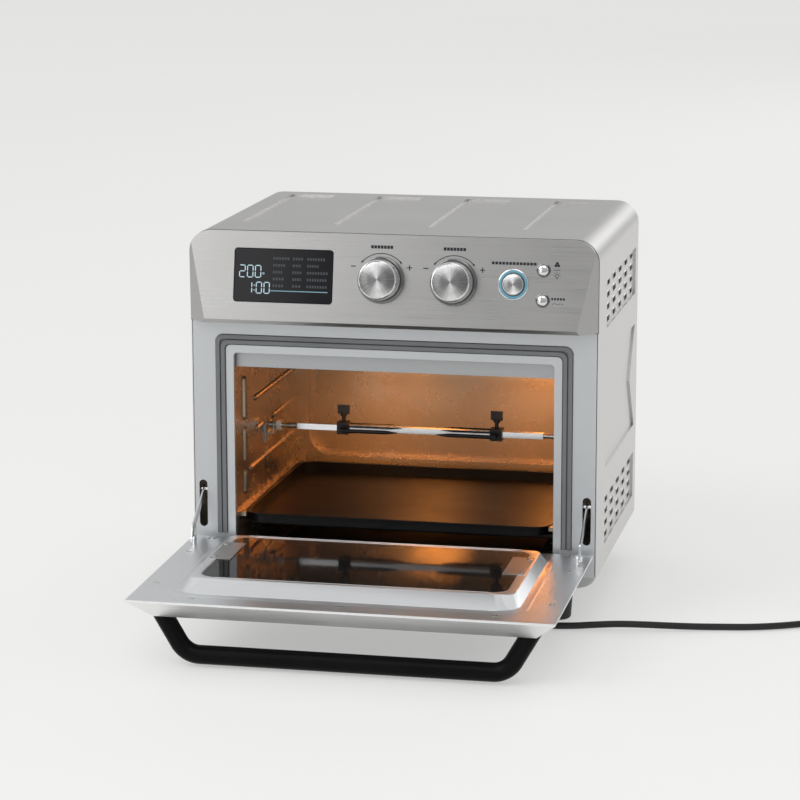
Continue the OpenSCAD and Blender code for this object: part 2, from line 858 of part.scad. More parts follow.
// ---------------------------------------------------------------- controls

// Half space on the outer side of the panel's right facet, moved in by g
module facet_cut(g) {
    a = [half_w - facet_w, -panel_out_low, 0];
    b = [half_w, -1.5, 0];
    c = [half_w, -panel_out_high, panel_h];
    m = cross(b - a, c - a);
    n = m / norm(m);
    translate([0, 0, panel_z]) translate(a - g * n)
        rotate([0, -asin(n[2]), atan2(n[1], n[0])]) translate([0, -200, -200]) cube(400);
}

// The panel's outer form, moved in by g, reaching back to y = back
module panel_form(g, back) {
    roll = 4;
    difference() {
        translate([0, -40, 0]) along_y(40 + back)
            arch(half_w - gap - g, panel_z + g, casing_top - g, casing_r - g);
        translate([0, -panel_out_low, panel_z]) rotate([-panel_lean, 0, 0]) {
            translate([-half_w - 1, g - 60, -60]) cube([casing_w + 2, 60, panel_h + 120]);
            translate([-half_w - 1, 0, roll + 1.41 * g]) rotate([-45, 0, 0])
                translate([0, -20, -20]) cube([casing_w + 2, 40, 20]);
        }
        both_sides() facet_cut(g);
    }
}

// A cylinder out of the panel's face, from y = a outside to y = b inside
module panel_rod(r, a, b)
    translate([0, b, 0]) rotate([90, 0, 0]) cylinder(r = r, h = b - a);

// A display-shaped plate, grown by g, from y = a to y = b
module panel_pane(g, a, b)
    translate([display_x, a, control_s + 1]) along_y(b - a)
        round_rect(display_w + 2 * g, display_h + 2 * g, 3 + g);

small_s = [control_s + small_pitch / 2, control_s - small_pitch / 2];
hole_gap = 0.3;

module bezel() {
    color("silver") place() difference() {
        panel_form(0, 0);
        panel_form(panel_t, 1);
        translate([0, -panel_out_low, panel_z]) rotate([-panel_lean, 0, 0]) {
            panel_pane(hole_gap, -1, panel_t + 1);
            for (x = [function_x, temp_x])
                translate([x, 0, control_s]) panel_rod(shaft_d / 2 + 0.6, -1, panel_t + 1);
            translate([power_x, 0, control_s])
                panel_rod(ring_d / 2 + hole_gap, -1, panel_t + 1);
            for (s = small_s)
                translate([small_x, 0, s]) panel_rod(small_d / 2 + hole_gap, -1, panel_t + 1);
        }
    }
}

module display_window() {
    color([0.03, 0.03, 0.05]) in_panel() {
        panel_pane(0, 0.3, panel_t + gap);
        panel_pane(3, panel_t + gap, panel_t + 1.4);
    }
}

switch_h = 4;

module control_board() {
    front = panel_t + 2;
    color([0.1, 0.3, 0.15]) in_panel() difference() {
        union() {
            span([-158, board_in, 16], [158, board_in + 1.6, 74]);
            translate([display_x, 0, control_s + 1])
                span([-48, front, -24], [48, board_in, 24]);
            for (x = [function_x, temp_x]) translate([x, 0, control_s]) {
                span([-6.5, board_in - 7, -6.5], [6.5, board_in, 6.5]);
                panel_rod(4.5, panel_t + gap, board_in - 7);
            }
            for (p = [[power_x, control_s], [small_x, small_s[0]], [small_x, small_s[1]]])
                translate([p[0], 0, p[1]])
                    span([-3, board_in - switch_h, -3], [3, board_in, 3]);
        }
        for (x = [function_x, temp_x])
            translate([x, 0, control_s]) panel_rod(shaft_d / 2 + run_gap, -1, board_in - 3);
    }
}

// Knob turned about the face's normal: skirt, waist and a slightly domed cap
module knob_body() {
    r = knob_d / 2;
    foot = 0.6;
    color("silver") rotate([90, 0, 0]) difference() {
        rotate_extrude($fn = 72) polygon([[0, foot], [r, foot], [r, foot + 2.2],
            [r - 0.8, foot + 3], [r - 1.6, foot + 3.2], [r - 2.8, knob_h - 1.6],
            [r - 3.6, knob_h - 0.5], [r - 4.6, knob_h], [r - 7, knob_h - 0.5],
            [0, knob_h - 0.1]]);
        cylinder(r = shaft_d / 2, h = knob_h - 5);
    }
}

// Shaft of a rotary control, from inside its bush to inside its knob
module shaft_body()
    color("silver") panel_rod(shaft_d / 2, -knob_h + 5, board_in - 4);

module function_knob() in_panel() translate([function_x, 0, control_s]) knob_body();
module temp_knob() in_panel() translate([temp_x, 0, control_s]) knob_body();
module function_shaft() in_panel() translate([function_x, 0, control_s]) shaft_body();
module temp_shaft() in_panel() translate([temp_x, 0, control_s]) shaft_body();

module power_ring() {
    color([0.6, 0.85, 0.9]) in_panel() translate([power_x, 0, control_s]) difference() {
        union() {
            panel_rod(ring_d / 2, -1, panel_t + gap);
            panel_rod(ring_d / 2 + 2, panel_t + gap, panel_t + 1.4);
        }
        panel_rod(power_d / 2 + hole_gap, -2, panel_t + 2);
    }
}

// A round button: cap, collar behind the panel and a stem to its switch
module button_body(d, out, collar) {
    color("silver") {
        panel_rod(d / 2, -out, panel_t + 1.6);
        panel_rod(d / 2 + collar, panel_t + 1.6, panel_t + 2.6);
        panel_rod(2, panel_t + 2.6, board_in - switch_h - button_travel - 0.2);
    }
}

module power_button()
    in_panel() translate([power_x, 0, control_s]) button_body(power_d, 2.8, 1);
module lamp_button()
    in_panel() translate([small_x, 0, small_s[0]]) button_body(small_d, 2.4, 1);
module shake_button()
    in_panel() translate([small_x, 0, small_s[1]]) button_body(small_d, 2.4, 1);

// ---------------------------------------------------------------- door

// A slab of the door between two heights, from the tip in by a to the edge
module door_slab(inset, z0, z1)
    span([-door_half + inset, tip_y + inset, z0], [door_half - inset, edge_in, z1]);

// The raised window frame's form, moved in by g
module window_form(g)
    hull() {
        l = glass_l + 2 * rim_end;
        w = glass_w + 2 * rim_side;
        translate([0, win_mid - (slope_high - slope_low) / 2, panel_top - sheet - g])
            round_plate(w + 2 * slope_side - 2 * g, l + slope_high + slope_low - 2 * g, 14, 0.2);
        translate([0, win_mid, rise_top - 0.2 - g])
            round_plate(w - 2 * g, l - 2 * g, 8 - g, 0.2);
    }

// Notch that lets a hinge ear through the door's lower edge
module ear_notch()
    both_sides() span([ear_x - ear_t / 2 - 2, -7, -30], [lug_x + ear_t + 1.6, edge_in + 1, 30]);

lug_x = ear_x + ear_t / 2 + 0.6;

// Lug of the door that turns on the hinge pin
module hinge_lug()
    both_sides() difference() {
        span([lug_x, -14, -5], [lug_x + ear_t, edge_in, panel_top - sheet / 2]);
        translate([lug_x - 1, 0, 0]) rod_x(pin_d / 2 + run_gap, ear_t + 2);
    }

// Lug and rivet that carry a link arm
module arm_lug()
    both_sides() {
        x = slot_x - arm_t / 2 - 0.4;
        span([x - 1.6, arm_y - 4, panel_top - sheet / 2], [x, arm_y + 4, arm_z]);
        translate([x - 1.6, arm_y, arm_z]) rod_x(4, 1.6);
        translate([x - 0.1, arm_y, arm_z]) rod_x(arm_pin_d / 2, arm_t + 1);
        translate([x + arm_t + 0.8, arm_y, arm_z]) rod_x(3, 0.8);
    }

module door_inner_panel() {
    color([0.78, 0.8, 0.82]) in_door() {
        difference() {
            union() {
                door_slab(0, panel_top - sheet, panel_top);
                window_form(0);
            }
            difference() {
                window_form(sheet);
                difference() {
                    translate([0, win_mid, rise_top - glass_t - 2 * sheet])
                        round_plate(glass_w + 2 * sheet, glass_l + 2 * sheet, 5, glass_t + 2 * sheet);
                    translate([0, win_mid, rise_top - glass_t - sheet])
                        round_plate(glass_w, glass_l, 4, glass_t + 2 * sheet);
                }
            }
            translate([0, win_mid, panel_top - 10])
                round_plate(glass_w - 2 * seat_w, glass_l - 2 * seat_w, 4, 40);
            translate([0, win_mid, rise_top - glass_t])
                round_plate(glass_w, glass_l, 4, 40);
            ear_notch();
        }
        hinge_lug();
        arm_lug();
    }
}

// The outer skin's form, moved in by g, sloped on three sides
module skin_form(g) {
    top = panel_top - sheet;
    hull() {
        door_slab(g, top - 1.2, top + (g > 0 ? 1 : 0));
        span([-door_half + bevel + 0.4 * g, tip_y + bevel + 0.4 * g, skin_low + g],
             [door_half - bevel - 0.4 * g, edge_in, skin_low + g + 0.1]);
    }
}

module door_skin() {
    color("silver") in_door() difference() {
        skin_form(0);
        intersection() {
            skin_form(sheet);
            span([-casing_w, tip_y, -50], [casing_w, edge_in - sheet, 50]);
        }
        translate([0, win_mid, skin_low - 1])
            round_plate(glass_w + 6, glass_l + 6, 8, 4);
        ear_notch();
    }
}

module inner_glass()
    color([0.2, 0.2, 0.22, 0.5]) in_door() translate([0, win_mid, rise_top - glass_t])
        round_plate(glass_w - 0.4, glass_l - 0.4, 4, glass_t);

module outer_glass()
    color([0.2, 0.2, 0.22, 0.5]) in_door() translate([0, win_mid, skin_low + sheet])
        round_plate(glass_w + 24, glass_l + 20, 4, glass_t);

clip_y = [-101, -58];
screw_h = 0.35;                  // flat heads, clear of the gasket when shut

// Two clips that hold the glass, each with two screws
module glass_clips()
    color([0.8, 0.8, 0.8]) in_door() both_sides() {
        span([win_half - 14, clip_y[0] - 7, rise_top], [win_half + 6.5, clip_y[1] + 7, rise_top + sheet]);
        for (y = clip_y)
            translate([win_half + 3, y, rise_top]) cylinder(r = 2.8, h = sheet + 0.5);
    }

module door_screws()
    color([0.85, 0.85, 0.85]) in_door() for (p = [
            [door_half - 12, -55], [door_half - 12, -163], [-door_half + 12, -55],
            [-door_half + 12, -163], [139, tip_y + 16.5], [0, tip_y + 16.5], [-139, tip_y + 16.5]])
        translate([p[0], p[1], panel_top]) cylinder(r = 3, h = screw_h);

handle_y = tip_y + 28.5;
handle_turn = 60;                // bend between bar and leg
handle_bend = 22;                // radius of the bend, at the tube's middle
leg_in = 1;                      // how far a leg reaches into its bend
leg_less = 0.05;                 // how much thinner than the bend it is

module door_handle() {
    r = handle_d / 2;
    up = handle_bend * (1 - cos(handle_turn));
    leg = (handle_off - up) / sin(handle_turn);
    mid = handle_w / 2 - handle_bend * sin(handle_turn) - leg * cos(handle_turn);
    color([0.07, 0.07, 0.08]) in_door() difference() {
        translate([0, handle_y, skin_low - handle_off]) both_sides() {
            rod_x(r, mid);
            translate([mid, 0, handle_bend]) {
                rotate([90, 0, 0]) rotate(-90)
                    rotate_extrude(angle = handle_turn) translate([handle_bend, 0]) circle(r);
                rotate([0, -handle_turn, 0]) translate([-leg_in, 0, -handle_bend])
                    rod_x(r - leg_less, leg_in + leg + r);
            }
        }
        span([-casing_w, handle_y - 50, skin_low], [casing_w, handle_y + 50, skin_low + 50]);
    }
}

// Ear plates on the front frame, one beside each lower corner of the door
module hinge_brackets()
    color([0.7, 0.71, 0.72]) place() translate([0, 0, hinge_z]) both_sides() difference() {
        union() {
            span([ear_x - ear_t / 2, hinge_y, -5], [ear_x + ear_t / 2, frame_t + 2, 5]);
            translate([ear_x - ear_t / 2, hinge_y, 0]) rod_x(5, ear_t);
            span([ear_x - 9, frame_t, -11], [ear_x + 9, frame_t + 1.6, 9]);
        }
        translate([ear_x - 5, hinge_y, 0]) rod_x(pin_d / 2, 10);
    }

module hinge_pins()
    color("silver") place() both_sides() translate([ear_x, hinge_y, hinge_z]) {
        translate([-ear_t / 2, 0, 0]) rod_x(pin_d / 2, 2 * ear_t + 1.6);
        translate([-ear_t / 2 - 1.2, 0, 0]) rod_x(pin_d / 2 + 1, 1.2);
    }

// A link arm in the YZ plane: bent near its pin, with a stop pin at its end
module arm_shape() {
    tip = arm_knee + arm_run * [cos(arm_rise), sin(arm_rise)];
    difference() {
        union() {
            strip([0, 0], arm_knee, arm_w - arm_less);
            strip(arm_knee, tip, arm_w - arm_less);
            for (p = [[0, 0], arm_knee, tip]) translate(p) circle(arm_w / 2);
        }
        circle(arm_pin_d / 2 + run_gap);
    }
}

// A straight strip from one point to another
module strip(a, b, w)
    translate(a) rotate(atan2(b[1] - a[1], b[0] - a[0]))
        translate([0, -w / 2]) square([norm(b - a), w]);

arm_pin_y = hinge_y + arm_y * cos(door_droop) - arm_z * sin(door_droop);
arm_pin_z = hinge_z + arm_y * sin(door_droop) + arm_z * cos(door_droop);

module link_arm() {
    tip = arm_knee + arm_run * [cos(arm_rise), sin(arm_rise)];
    color([0.75, 0.75, 0.75]) place() translate([slot_x, arm_pin_y, arm_pin_z]) {
        translate([-arm_t / 2, 0, 0]) rotate([90, 0, 90]) linear_extrude(arm_t) arm_shape();
        translate([-5, tip[0], tip[1]]) rod_x(2, 9.5);
    }
}

module link_arm_right() link_arm();
module link_arm_left() mirror([1, 0, 0]) link_arm();

// ---------------------------------------------------------------- cord

module gland() {
    color([0.08, 0.08, 0.08]) place() translate([gland_x, gland_y, gland_z]) {
        translate([0, -3 * sheet - 2, 0]) rod_y(gland_r + 3, 2);
        translate([0, -3 * sheet, 0]) rod_y(gland_r, 3 * sheet);
        rotate([-90, 0, 0]) translate([0, 0, -sheet])
            cylinder(r1 = gland_r + 1.5, r2 = cord_r + 1.2, h = gland_l + sheet);
    }
}

// A tube of the given radius and sides through a list of points
function tangent(p, i) =
    let (a = p[max(i - 1, 0)], b = p[min(i + 1, len(p) - 1)]) (b - a) / norm(b - a);
function side_of(t) = let (c = cross(t, [0, 0, 1])) norm(c) > 0.2 ? c / norm(c) : [-1, 0, 0];
function ring(p, t, r, n) =
    let (u = side_of(t), v = cross(u, t))
    [for (k = [0 : n - 1]) p + r * (cos(360 * k / n) * u + sin(360 * k / n) * v)];

// Point at share f of the way from p[1] to p[2], on a smooth curve
function blend_at(p, f) = 0.5 * (2 * p[1] + f * (p[2] - p[0])
    + f * f * (2 * p[0] - 5 * p[1] + 4 * p[2] - p[3])
    + f * f * f * (3 * p[1] - p[0] - 3 * p[2] + p[3]));
function four(p, i) = [for (k = [-1 : 2]) p[min(max(i + k, 0), len(p) - 1)]];
function steps(p, i) = max(1, round(norm(p[i + 1] - p[i]) / 16));
function smooth(p) = concat([for (i = [0 : len(p) - 2], k = [0 : steps(p, i) - 1])
    blend_at(four(p, i), k / steps(p, i))], [p[len(p) - 1]]);

module tube(p, r, n) {
    m = len(p);
    points = [for (i = [0 : m - 1]) each ring(p[i], tangent(p, i), r, n)];
    walls = [for (i = [0 : m - 2], k = [0 : n - 1])
        [i * n + k, i * n + (k + 1) % n, (i + 1) * n + (k + 1) % n, (i + 1) * n + k]];
    ends = [[for (k = [n - 1 : -1 : 0]) k], [for (k = [0 : n - 1]) (m - 1) * n + k]];
    polyhedron(points, concat(walls, ends), convexity = 10);
}

module cord()
    color([0.07, 0.07, 0.07]) place() tube(smooth(cord_route), cord_r, 8);

module cord_coil()
    color([0.07, 0.07, 0.07]) place() translate([coil_x, coil_y, 0.2])
        rotate_extrude($fn = 72)
            translate([coil_r - cord_r, 0]) square([cord_d, cord_d * (coil_turns + 1)]);

plug_r = 18.5;
plug_l = 40;
relief_l = 28;
plug_x = coil_x + 17;
plug_z = cord_r + 0.2 + cord_d * coil_turns;
plug_run = plug_l + relief_l;
rim_at = relief_l + 26;          // near end of the plug's widest part
plug_tilt = acos(plug_z / norm([plug_r, rim_at])) - atan2(rim_at, plug_r);

module plug() {
    color([0.08, 0.08, 0.08]) place()
        translate([plug_x, coil_y - coil_r, plug_z + 0.1]) rotate([0, 90 - plug_tilt, 0]) {
            rotate_extrude() polygon([[0, 0], [cord_r + 1, 0], [7, relief_l], [12, relief_l + 5],
                [15, rim_at - 4], [plug_r, rim_at], [plug_r, plug_run], [0, plug_run]]);
            for (s = [-1, 1])
                translate([0, s * 9.5, plug_run - 1]) cylinder(r = 2.4, h = 20);
        }
}

outer_shell();
back_cover();
bottom_pan();
foot_front_left();
foot_front_right();
foot_rear_left();
foot_rear_right();
front_frame();
gasket();
cavity_left();
cavity_right();
cavity_top();
cavity_back();
cavity_floor();
heat_shield();
upper_heater();
lower_heaters();
fan_guard();
convection_fan();
fan_shaft();
cooling_fan();
fan_motor();
lamp_cover();
lamp_bulb();
rotisserie_motor();
drive_socket();
spit_cradle();
spit();
fork_left();
fork_right();
fork_screw_left();
fork_screw_right();
baking_tray();
crumb_tray();
bezel();
display_window();
control_board();
function_knob();
temp_knob();
function_shaft();
temp_shaft();
power_button();
power_ring();
lamp_button();
shake_button();
door_inner_panel();
door_skin();
inner_glass();
outer_glass();
glass_clips();
door_handle();
door_screws();
hinge_brackets();
hinge_pins();
link_arm_left();
link_arm_right();
gland();
cord();
cord_coil();
plug();
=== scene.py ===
"""Looks of a countertop air-fryer oven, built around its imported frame.

Lengths are in metres, unless a docstring says millimetres, and every place is in the
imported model's own frame: +X to the right, -Y to the front, +Z up, with the oven on z = 0.
"""

import logging
import math
from collections.abc import Callable, Iterable, Sequence
from dataclasses import dataclass
from enum import Enum

import bpy
from mathutils import Matrix, Vector

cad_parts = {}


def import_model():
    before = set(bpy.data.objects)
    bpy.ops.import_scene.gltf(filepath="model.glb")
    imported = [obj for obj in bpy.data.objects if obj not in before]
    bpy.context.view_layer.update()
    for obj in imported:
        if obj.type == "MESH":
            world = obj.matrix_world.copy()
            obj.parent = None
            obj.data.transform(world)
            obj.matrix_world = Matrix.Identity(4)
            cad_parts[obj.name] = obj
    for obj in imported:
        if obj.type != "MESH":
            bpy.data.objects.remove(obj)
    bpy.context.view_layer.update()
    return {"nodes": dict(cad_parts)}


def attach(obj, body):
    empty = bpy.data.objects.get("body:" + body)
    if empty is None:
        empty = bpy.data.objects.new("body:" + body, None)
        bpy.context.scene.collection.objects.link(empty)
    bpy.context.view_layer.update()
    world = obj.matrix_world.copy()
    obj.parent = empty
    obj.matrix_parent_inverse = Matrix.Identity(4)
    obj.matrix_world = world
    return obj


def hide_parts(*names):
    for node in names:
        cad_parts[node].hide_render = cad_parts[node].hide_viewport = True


LOG = logging.getLogger("oven")
Colour = tuple[float, float, float, float]
Point = tuple[float, float, float]
MM = 0.001
SHIFT = -0.021676  # from the front frame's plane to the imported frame's origin
PANEL_LEAN = math.radians(-10.386)  # how far the control panel leans back
PANEL = Matrix.Translation((0, -0.020 + SHIFT, 0.2827)) @ Matrix.Rotation(PANEL_LEAN, 4, "X")
DOOR = Matrix.Translation((0, -0.0124 + SHIFT, 0.0599)) @ Matrix.Rotation(math.radians(1), 4, "X")
OUTWARDS = Matrix.Rotation(math.radians(90), 4, "X")  # turns +Z to the front


def grey(level: float, warm: float = 0.0) -> Colour:
    """A grey of that level, a little warmer or cooler."""
    return (level * (1 + warm), level, level * (1 - warm), 1.0)


def scaled(colour: Colour, factor: float, lift: float = 0.0) -> Colour:
    """A colour made lighter or darker, and lifted a little from black."""
    return tuple(min(1.0, part * factor + lift) for part in colour[:3]) + (1.0,)


# ------------------------------------------------------------ shader maths


class Wire:
    """One output of a shader node that Python expressions can use."""

    def __init__(self, bench: "Bench", socket: bpy.types.NodeSocket) -> None:
        """Keeps the socket and the bench that makes its neighbours.

        Args:
            bench: the material that is being built.
            socket: the node output that this wire leaves.
        """
        self.bench = bench
        self.socket = socket

    def math(self, operation: str, *others: "Wire | float", clamp: bool = False) -> "Wire":
        """A Math node on this wire.

        Args:
            operation: the Math node's operation.
            others: its further inputs.
            clamp: whether the result stays between 0 and 1.

        Returns:
            The node's value.
        """
        settings = {"operation": operation, "use_clamp": clamp}
        return self.bench.node("ShaderNodeMath", settings, dict(enumerate((self, *others))))

    def __add__(self, other: "Wire | float") -> "Wire":
        """Sum."""
        return self.math("ADD", other)

    def __sub__(self, other: "Wire | float") -> "Wire":
        """Difference."""
        return self.math("SUBTRACT", other)

    def __mul__(self, other: "Wire | float") -> "Wire":
        """Product."""
        return self.math("MULTIPLY", other)

    def __truediv__(self, other: "Wire | float") -> "Wire":
        """Quotient."""
        return self.math("DIVIDE", other)

    def __pow__(self, other: float) -> "Wire":
        """Power."""
        return self.math("POWER", other)

    def clamped(self) -> "Wire":
        """The value kept between 0 and 1."""
        return self.math("ADD", 0.0, clamp=True)

    def above(self, edge: float, soft: float) -> "Wire":
        """A mask that rises from 0 to 1 around an edge.

        Args:
            edge: where the mask is a half.
            soft: how wide the change is.

        Returns:
            The mask.
        """
        return ((self - edge) / soft + 0.5).clamped()


class Bench:
    """Builds one material, node by node."""

    def __init__(self, name: str) -> None:
        """Starts an empty node tree.

        Args:
            name: the material's name.
        """
        self.material = bpy.data.materials.new(name)
        self.material.use_nodes = True
        self.tree = self.material.node_tree
        self.tree.nodes.clear()

    def node(
        self, kind: str, settings: dict[str, object], inputs: dict[int | str, object], out: int | str = 0
    ) -> Wire:
        """Adds one node.

        Args:
            kind: the node's type.
            settings: its own properties, set first; "stops" fills a colour ramp.
            inputs: values or wires for its sockets.
            out: the output that the wire leaves.

        Returns:
            A wire from that output.
        """
        made = self.tree.nodes.new(kind)
        for name, value in settings.items():
            if name == "stops":
                self.fill_ramp(made.color_ramp, value)
            else:
                setattr(made, name, value)
        for key, value in inputs.items():
            if isinstance(value, Wire):
                self.tree.links.new(value.socket, made.inputs[key])
            else:
                made.inputs[key].default_value = value
        return Wire(self, made.outputs[out])

    @staticmethod
    def fill_ramp(ramp: bpy.types.ColorRamp, stops: Sequence[tuple[float, Colour]]) -> None:
        """Puts the stops into a colour ramp.

        Args:
            ramp: the ramp to fill.
            stops: the place, from 0 to 1, and the colour of each stop.
        """
        while len(ramp.elements) < len(stops):
            ramp.elements.new(0.5)
        for element, (place, colour) in zip(ramp.elements, stops):
            element.position = place
            element.color = colour

    def place(self, scale: Point = (1, 1, 1), centre: Point = (0, 0, 0), turn: Point = (0, 0, 0)) -> Wire:
        """Object coordinates, centred, turned and scaled.

        Args:
            scale: factor on each axis, after the turn.
            centre: the point that becomes the origin.
            turn: angles about X, Y and Z, in radians.

        Returns:
            The coordinates.
        """
        raw = self.node("ShaderNodeTexCoord", {}, {}, "Object")
        near = self.node("ShaderNodeVectorMath", {"operation": "SUBTRACT"}, {0: raw, 1: centre})
        return self.node(
            "ShaderNodeMapping", {"vector_type": "POINT"}, {"Vector": near, "Rotation": turn, "Scale": scale}
        )

    def split(self, vector: Wire) -> tuple[Wire, Wire, Wire]:
        """The three parts of a vector.

        Args:
            vector: the vector to split.

        Returns:
            Its X, Y and Z.
        """
        node = self.node("ShaderNodeSeparateXYZ", {}, {0: vector})
        outs = node.socket.node.outputs
        return Wire(self, outs[0]), Wire(self, outs[1]), Wire(self, outs[2])

    def noise(self, vector: Wire, scale: float, detail: float = 3.0, rough: float = 0.5) -> Wire:
        """Noise from 0 to 1.

        Args:
            vector: where it is read.
            scale: how fine it is.
            detail: how many octaves it has.
            rough: how strong the fine octaves are.

        Returns:
            The noise.
        """
        inputs = {"Vector": vector, "Scale": scale, "Detail": detail, "Roughness": rough}
        return self.node("ShaderNodeTexNoise", {}, inputs)

    def mix(self, share: Wire | float, first: object, second: object) -> Wire:
        """A colour between two colours."""
        return self.node("ShaderNodeMix", {"data_type": "RGBA"}, {0: share, 6: first, 7: second}, 2)

    def bump(self, height: Wire, strength: float, depth: float) -> Wire:
        """A normal from a height.

        Args:
            height: the height, about 0 to 1.
            strength: how strong the relief is.
            depth: what a height of 1 is, in metres.

        Returns:
            The normal.
        """
        return self.node("ShaderNodeBump", {}, {"Strength": strength, "Distance": depth, "Height": height})

    def finish(self, **sockets: object) -> bpy.types.Material:
        """Closes the material with one Principled shader.

        Args:
            sockets: the shader's inputs, with underscores for spaces.

        Returns:
            The material.
        """
        inputs = {name.replace("_", " "): value for name, value in sockets.items()}
        shader = self.node("ShaderNodeBsdfPrincipled", {}, inputs)
        self.node_output(shader)
        return self.material

    def node_output(self, shader: Wire) -> None:
        """Links a shader to the material's output."""
        out = self.tree.nodes.new("ShaderNodeOutputMaterial")
        self.tree.links.new(shader.socket, out.inputs["Surface"])


# ---------------------------------------------------------------- finishes


class Grain(Enum):
    """The way in which a sheet was brushed, as the factors on its pattern."""

    ACROSS = (9.0, 1100.0, 1100.0)
    DEEP = (1100.0, 9.0, 1100.0)
    UPRIGHT = (1100.0, 1100.0, 9.0)
    NONE = (60.0, 60.0, 60.0)


@dataclass(frozen=True)
class BrushedSteel:
    """Brushed or rolled stainless steel.

    Attributes:
        name: the material's name.
        level: how light the metal is.
        grain: the way it was brushed.
        rough: how dull it is.
        warm: how much warmer than grey it is.
        streak: how strong the streaks are.
        metallic: how much of it is bare metal.
    """

    name: str
    level: float = 0.62
    grain: Grain = Grain.ACROSS
    rough: float = 0.34
    warm: float = 0.0
    streak: float = 0.12
    metallic: float = 1.0

    def material(self) -> bpy.types.Material:
        """Makes the material.

        Returns:
            The material.
        """
        bench = Bench(self.name)
        lines = bench.noise(bench.place(self.grain.value), 1.0, 4.0, 0.65)
        cloud = bench.noise(bench.place((14, 14, 14)), 1.0, 2.0)
        fine = (lines - 0.5) * (2 * self.streak)
        share = (fine + (cloud - 0.5) * 0.25 + 0.5).clamped()
        dark, light = grey(self.level * 0.86, self.warm), grey(min(1.0, self.level * 1.12), self.warm)
        base = bench.mix(share, dark, light)
        rough = (lines - 0.5) * 0.16 + (cloud - 0.5) * 0.1 + self.rough
        return bench.finish(
            Base_Color=base, Metallic=self.metallic, Roughness=rough, Normal=bench.bump(lines, 0.12, 0.0002)
        )


@dataclass(frozen=True)
class Coat:
    """An even coat of paint, enamel, plastic or rubber.

    Attributes:
        name: the material's name.
        colour: its colour.
        rough: how dull it is.
        metallic: how metallic it looks.
        grit: how fine its surface texture is, in features per metre.
        relief: how deep the texture is, in metres.
        uneven: how much its colour varies.
        shine: how strongly it mirrors straight on.
    """

    name: str
    colour: Colour
    rough: float = 0.5
    metallic: float = 0.0
    grit: float = 900.0
    relief: float = 0.00005
    uneven: float = 0.12
    shine: float = 0.5

    def material(self) -> bpy.types.Material:
        """Makes the material.

        Returns:
            The material.
        """
        bench = Bench(self.name)
        place = bench.place()
        fine = bench.noise(place, self.grit, 3.0)
        cloud = bench.noise(place, 18.0, 3.0)
        wear = (cloud - 0.5) * 1.4 + (fine - 0.5) * 0.5 + 0.5
        low, high = scaled(self.colour, 1 - self.uneven), scaled(self.colour, 1 + self.uneven, 0.004)
        base = bench.mix(wear.clamped(), low, high)
        rough = (cloud - 0.5) * 0.18 + (fine - 0.5) * 0.08 + self.rough
        return bench.finish(
            Base_Color=base,
            Metallic=self.metallic,
            Roughness=rough.clamped(),
            Specular_IOR_Level=self.shine,
            Normal=bench.bump(fine, 0.3, self.relief),
        )


@dataclass(frozen=True)
class CavitySteel:
    """Aluminised sheet inside the oven, browned a little by use.

    Attributes:
        name: the material's name.
        level: how light the clean sheet is.
    """

    name: str
    level: float = 0.5

    def material(self) -> bpy.types.Material:
        """Makes the material.

        Returns:
            The material.
        """
        bench = Bench(self.name)
        place = bench.place()
        cloud = bench.noise(place, 22.0, 5.0, 0.6)
        fine = bench.noise(place, 420.0, 3.0)
        spots = bench.noise(place, 150.0, 2.0).above(0.72, 0.06)
        stain = (cloud.above(0.56, 0.2) * 0.35 + spots * 0.25).clamped()
        clean = bench.mix(fine, grey(self.level * 0.92, 0.3), grey(self.level * 1.06, 0.3))
        base = bench.mix(stain, clean, (0.30, 0.22, 0.14, 1.0))
        rough = (cloud - 0.5) * 0.2 + 0.27
        return bench.finish(
            Base_Color=base, Metallic=0.75, Roughness=rough, Normal=bench.bump(fine, 0.15, 0.0001)
        )


@dataclass(frozen=True)
class SpunMetal:
    """Turned aluminium with fine rings round its axis, and a painted bow-tie highlight in its colour.

    Attributes:
        name: the material's name.
        centre: a point on the axis.
        lean: how far the axis leans back from level, in radians.
        level: how light the metal is.
        rough: how dull it is.
    """

    name: str
    centre: Point
    lean: float
    level: float = 0.7
    rough: float = 0.25

    def material(self) -> bpy.types.Material:
        """Makes the material.

        Returns:
            The material.
        """
        bench = Bench(self.name)
        near = bench.place((1, 1, 1), self.centre, (self.lean, 0, 0))
        across, _, up = bench.split(near)
        radius = (across * across + up * up).math("SQRT")
        rings = (radius * 9000.0).math("SINE") * 0.5 + 0.5
        angle = up.math("ARCTAN2", across)
        # painted highlight: fan is a bow-tie of light and dark wedges round the axis, painted into the colour
        # in place of the spun metal's reflection
        fan = ((angle * 2.0 - 1.95).math("SINE") * 0.5 + 0.5) ** 2.4
        wisps = bench.node(
            "ShaderNodeTexNoise", {"noise_dimensions": "1D"}, {"W": angle * 5.0, "Scale": 3.0, "Detail": 4.0}
        )
        # the colour mixes the painted bow-tie highlight with the wisps
        share = (fan * 0.85 + (wisps - 0.5) * 0.6 + 0.05).clamped()
        base = bench.mix(share, grey(self.level * 0.3), grey(min(1.0, self.level * 1.35)))
        rough = rings * 0.06 + (wisps - 0.5) * 0.1 + self.rough
        return bench.finish(
            Base_Color=base, Metallic=1.0, Roughness=rough, Normal=bench.bump(rings, 0.18, 0.00005)
        )


@dataclass(frozen=True)
class Pane:
    """Clear or smoked glass.

    Attributes:
        name: the material's name.
        tint: the colour of what passes through.
        through: how much passes through.
        rough: how hazy it is.
    """

    name: str
    tint: Colour
    through: float = 1.0
    rough: float = 0.02

    def material(self) -> bpy.types.Material:
        """Makes the material.

        Returns:
            The material.
        """
        bench = Bench(self.name)
        smear = bench.noise(bench.place((30, 9, 30)), 1.0, 3.0)
        rough = smear * 0.05 + self.rough
        base = bench.mix(smear, self.tint, scaled(self.tint, 0.8))
        return bench.finish(Base_Color=base, Roughness=rough, Transmission_Weight=self.through, IOR=1.2)


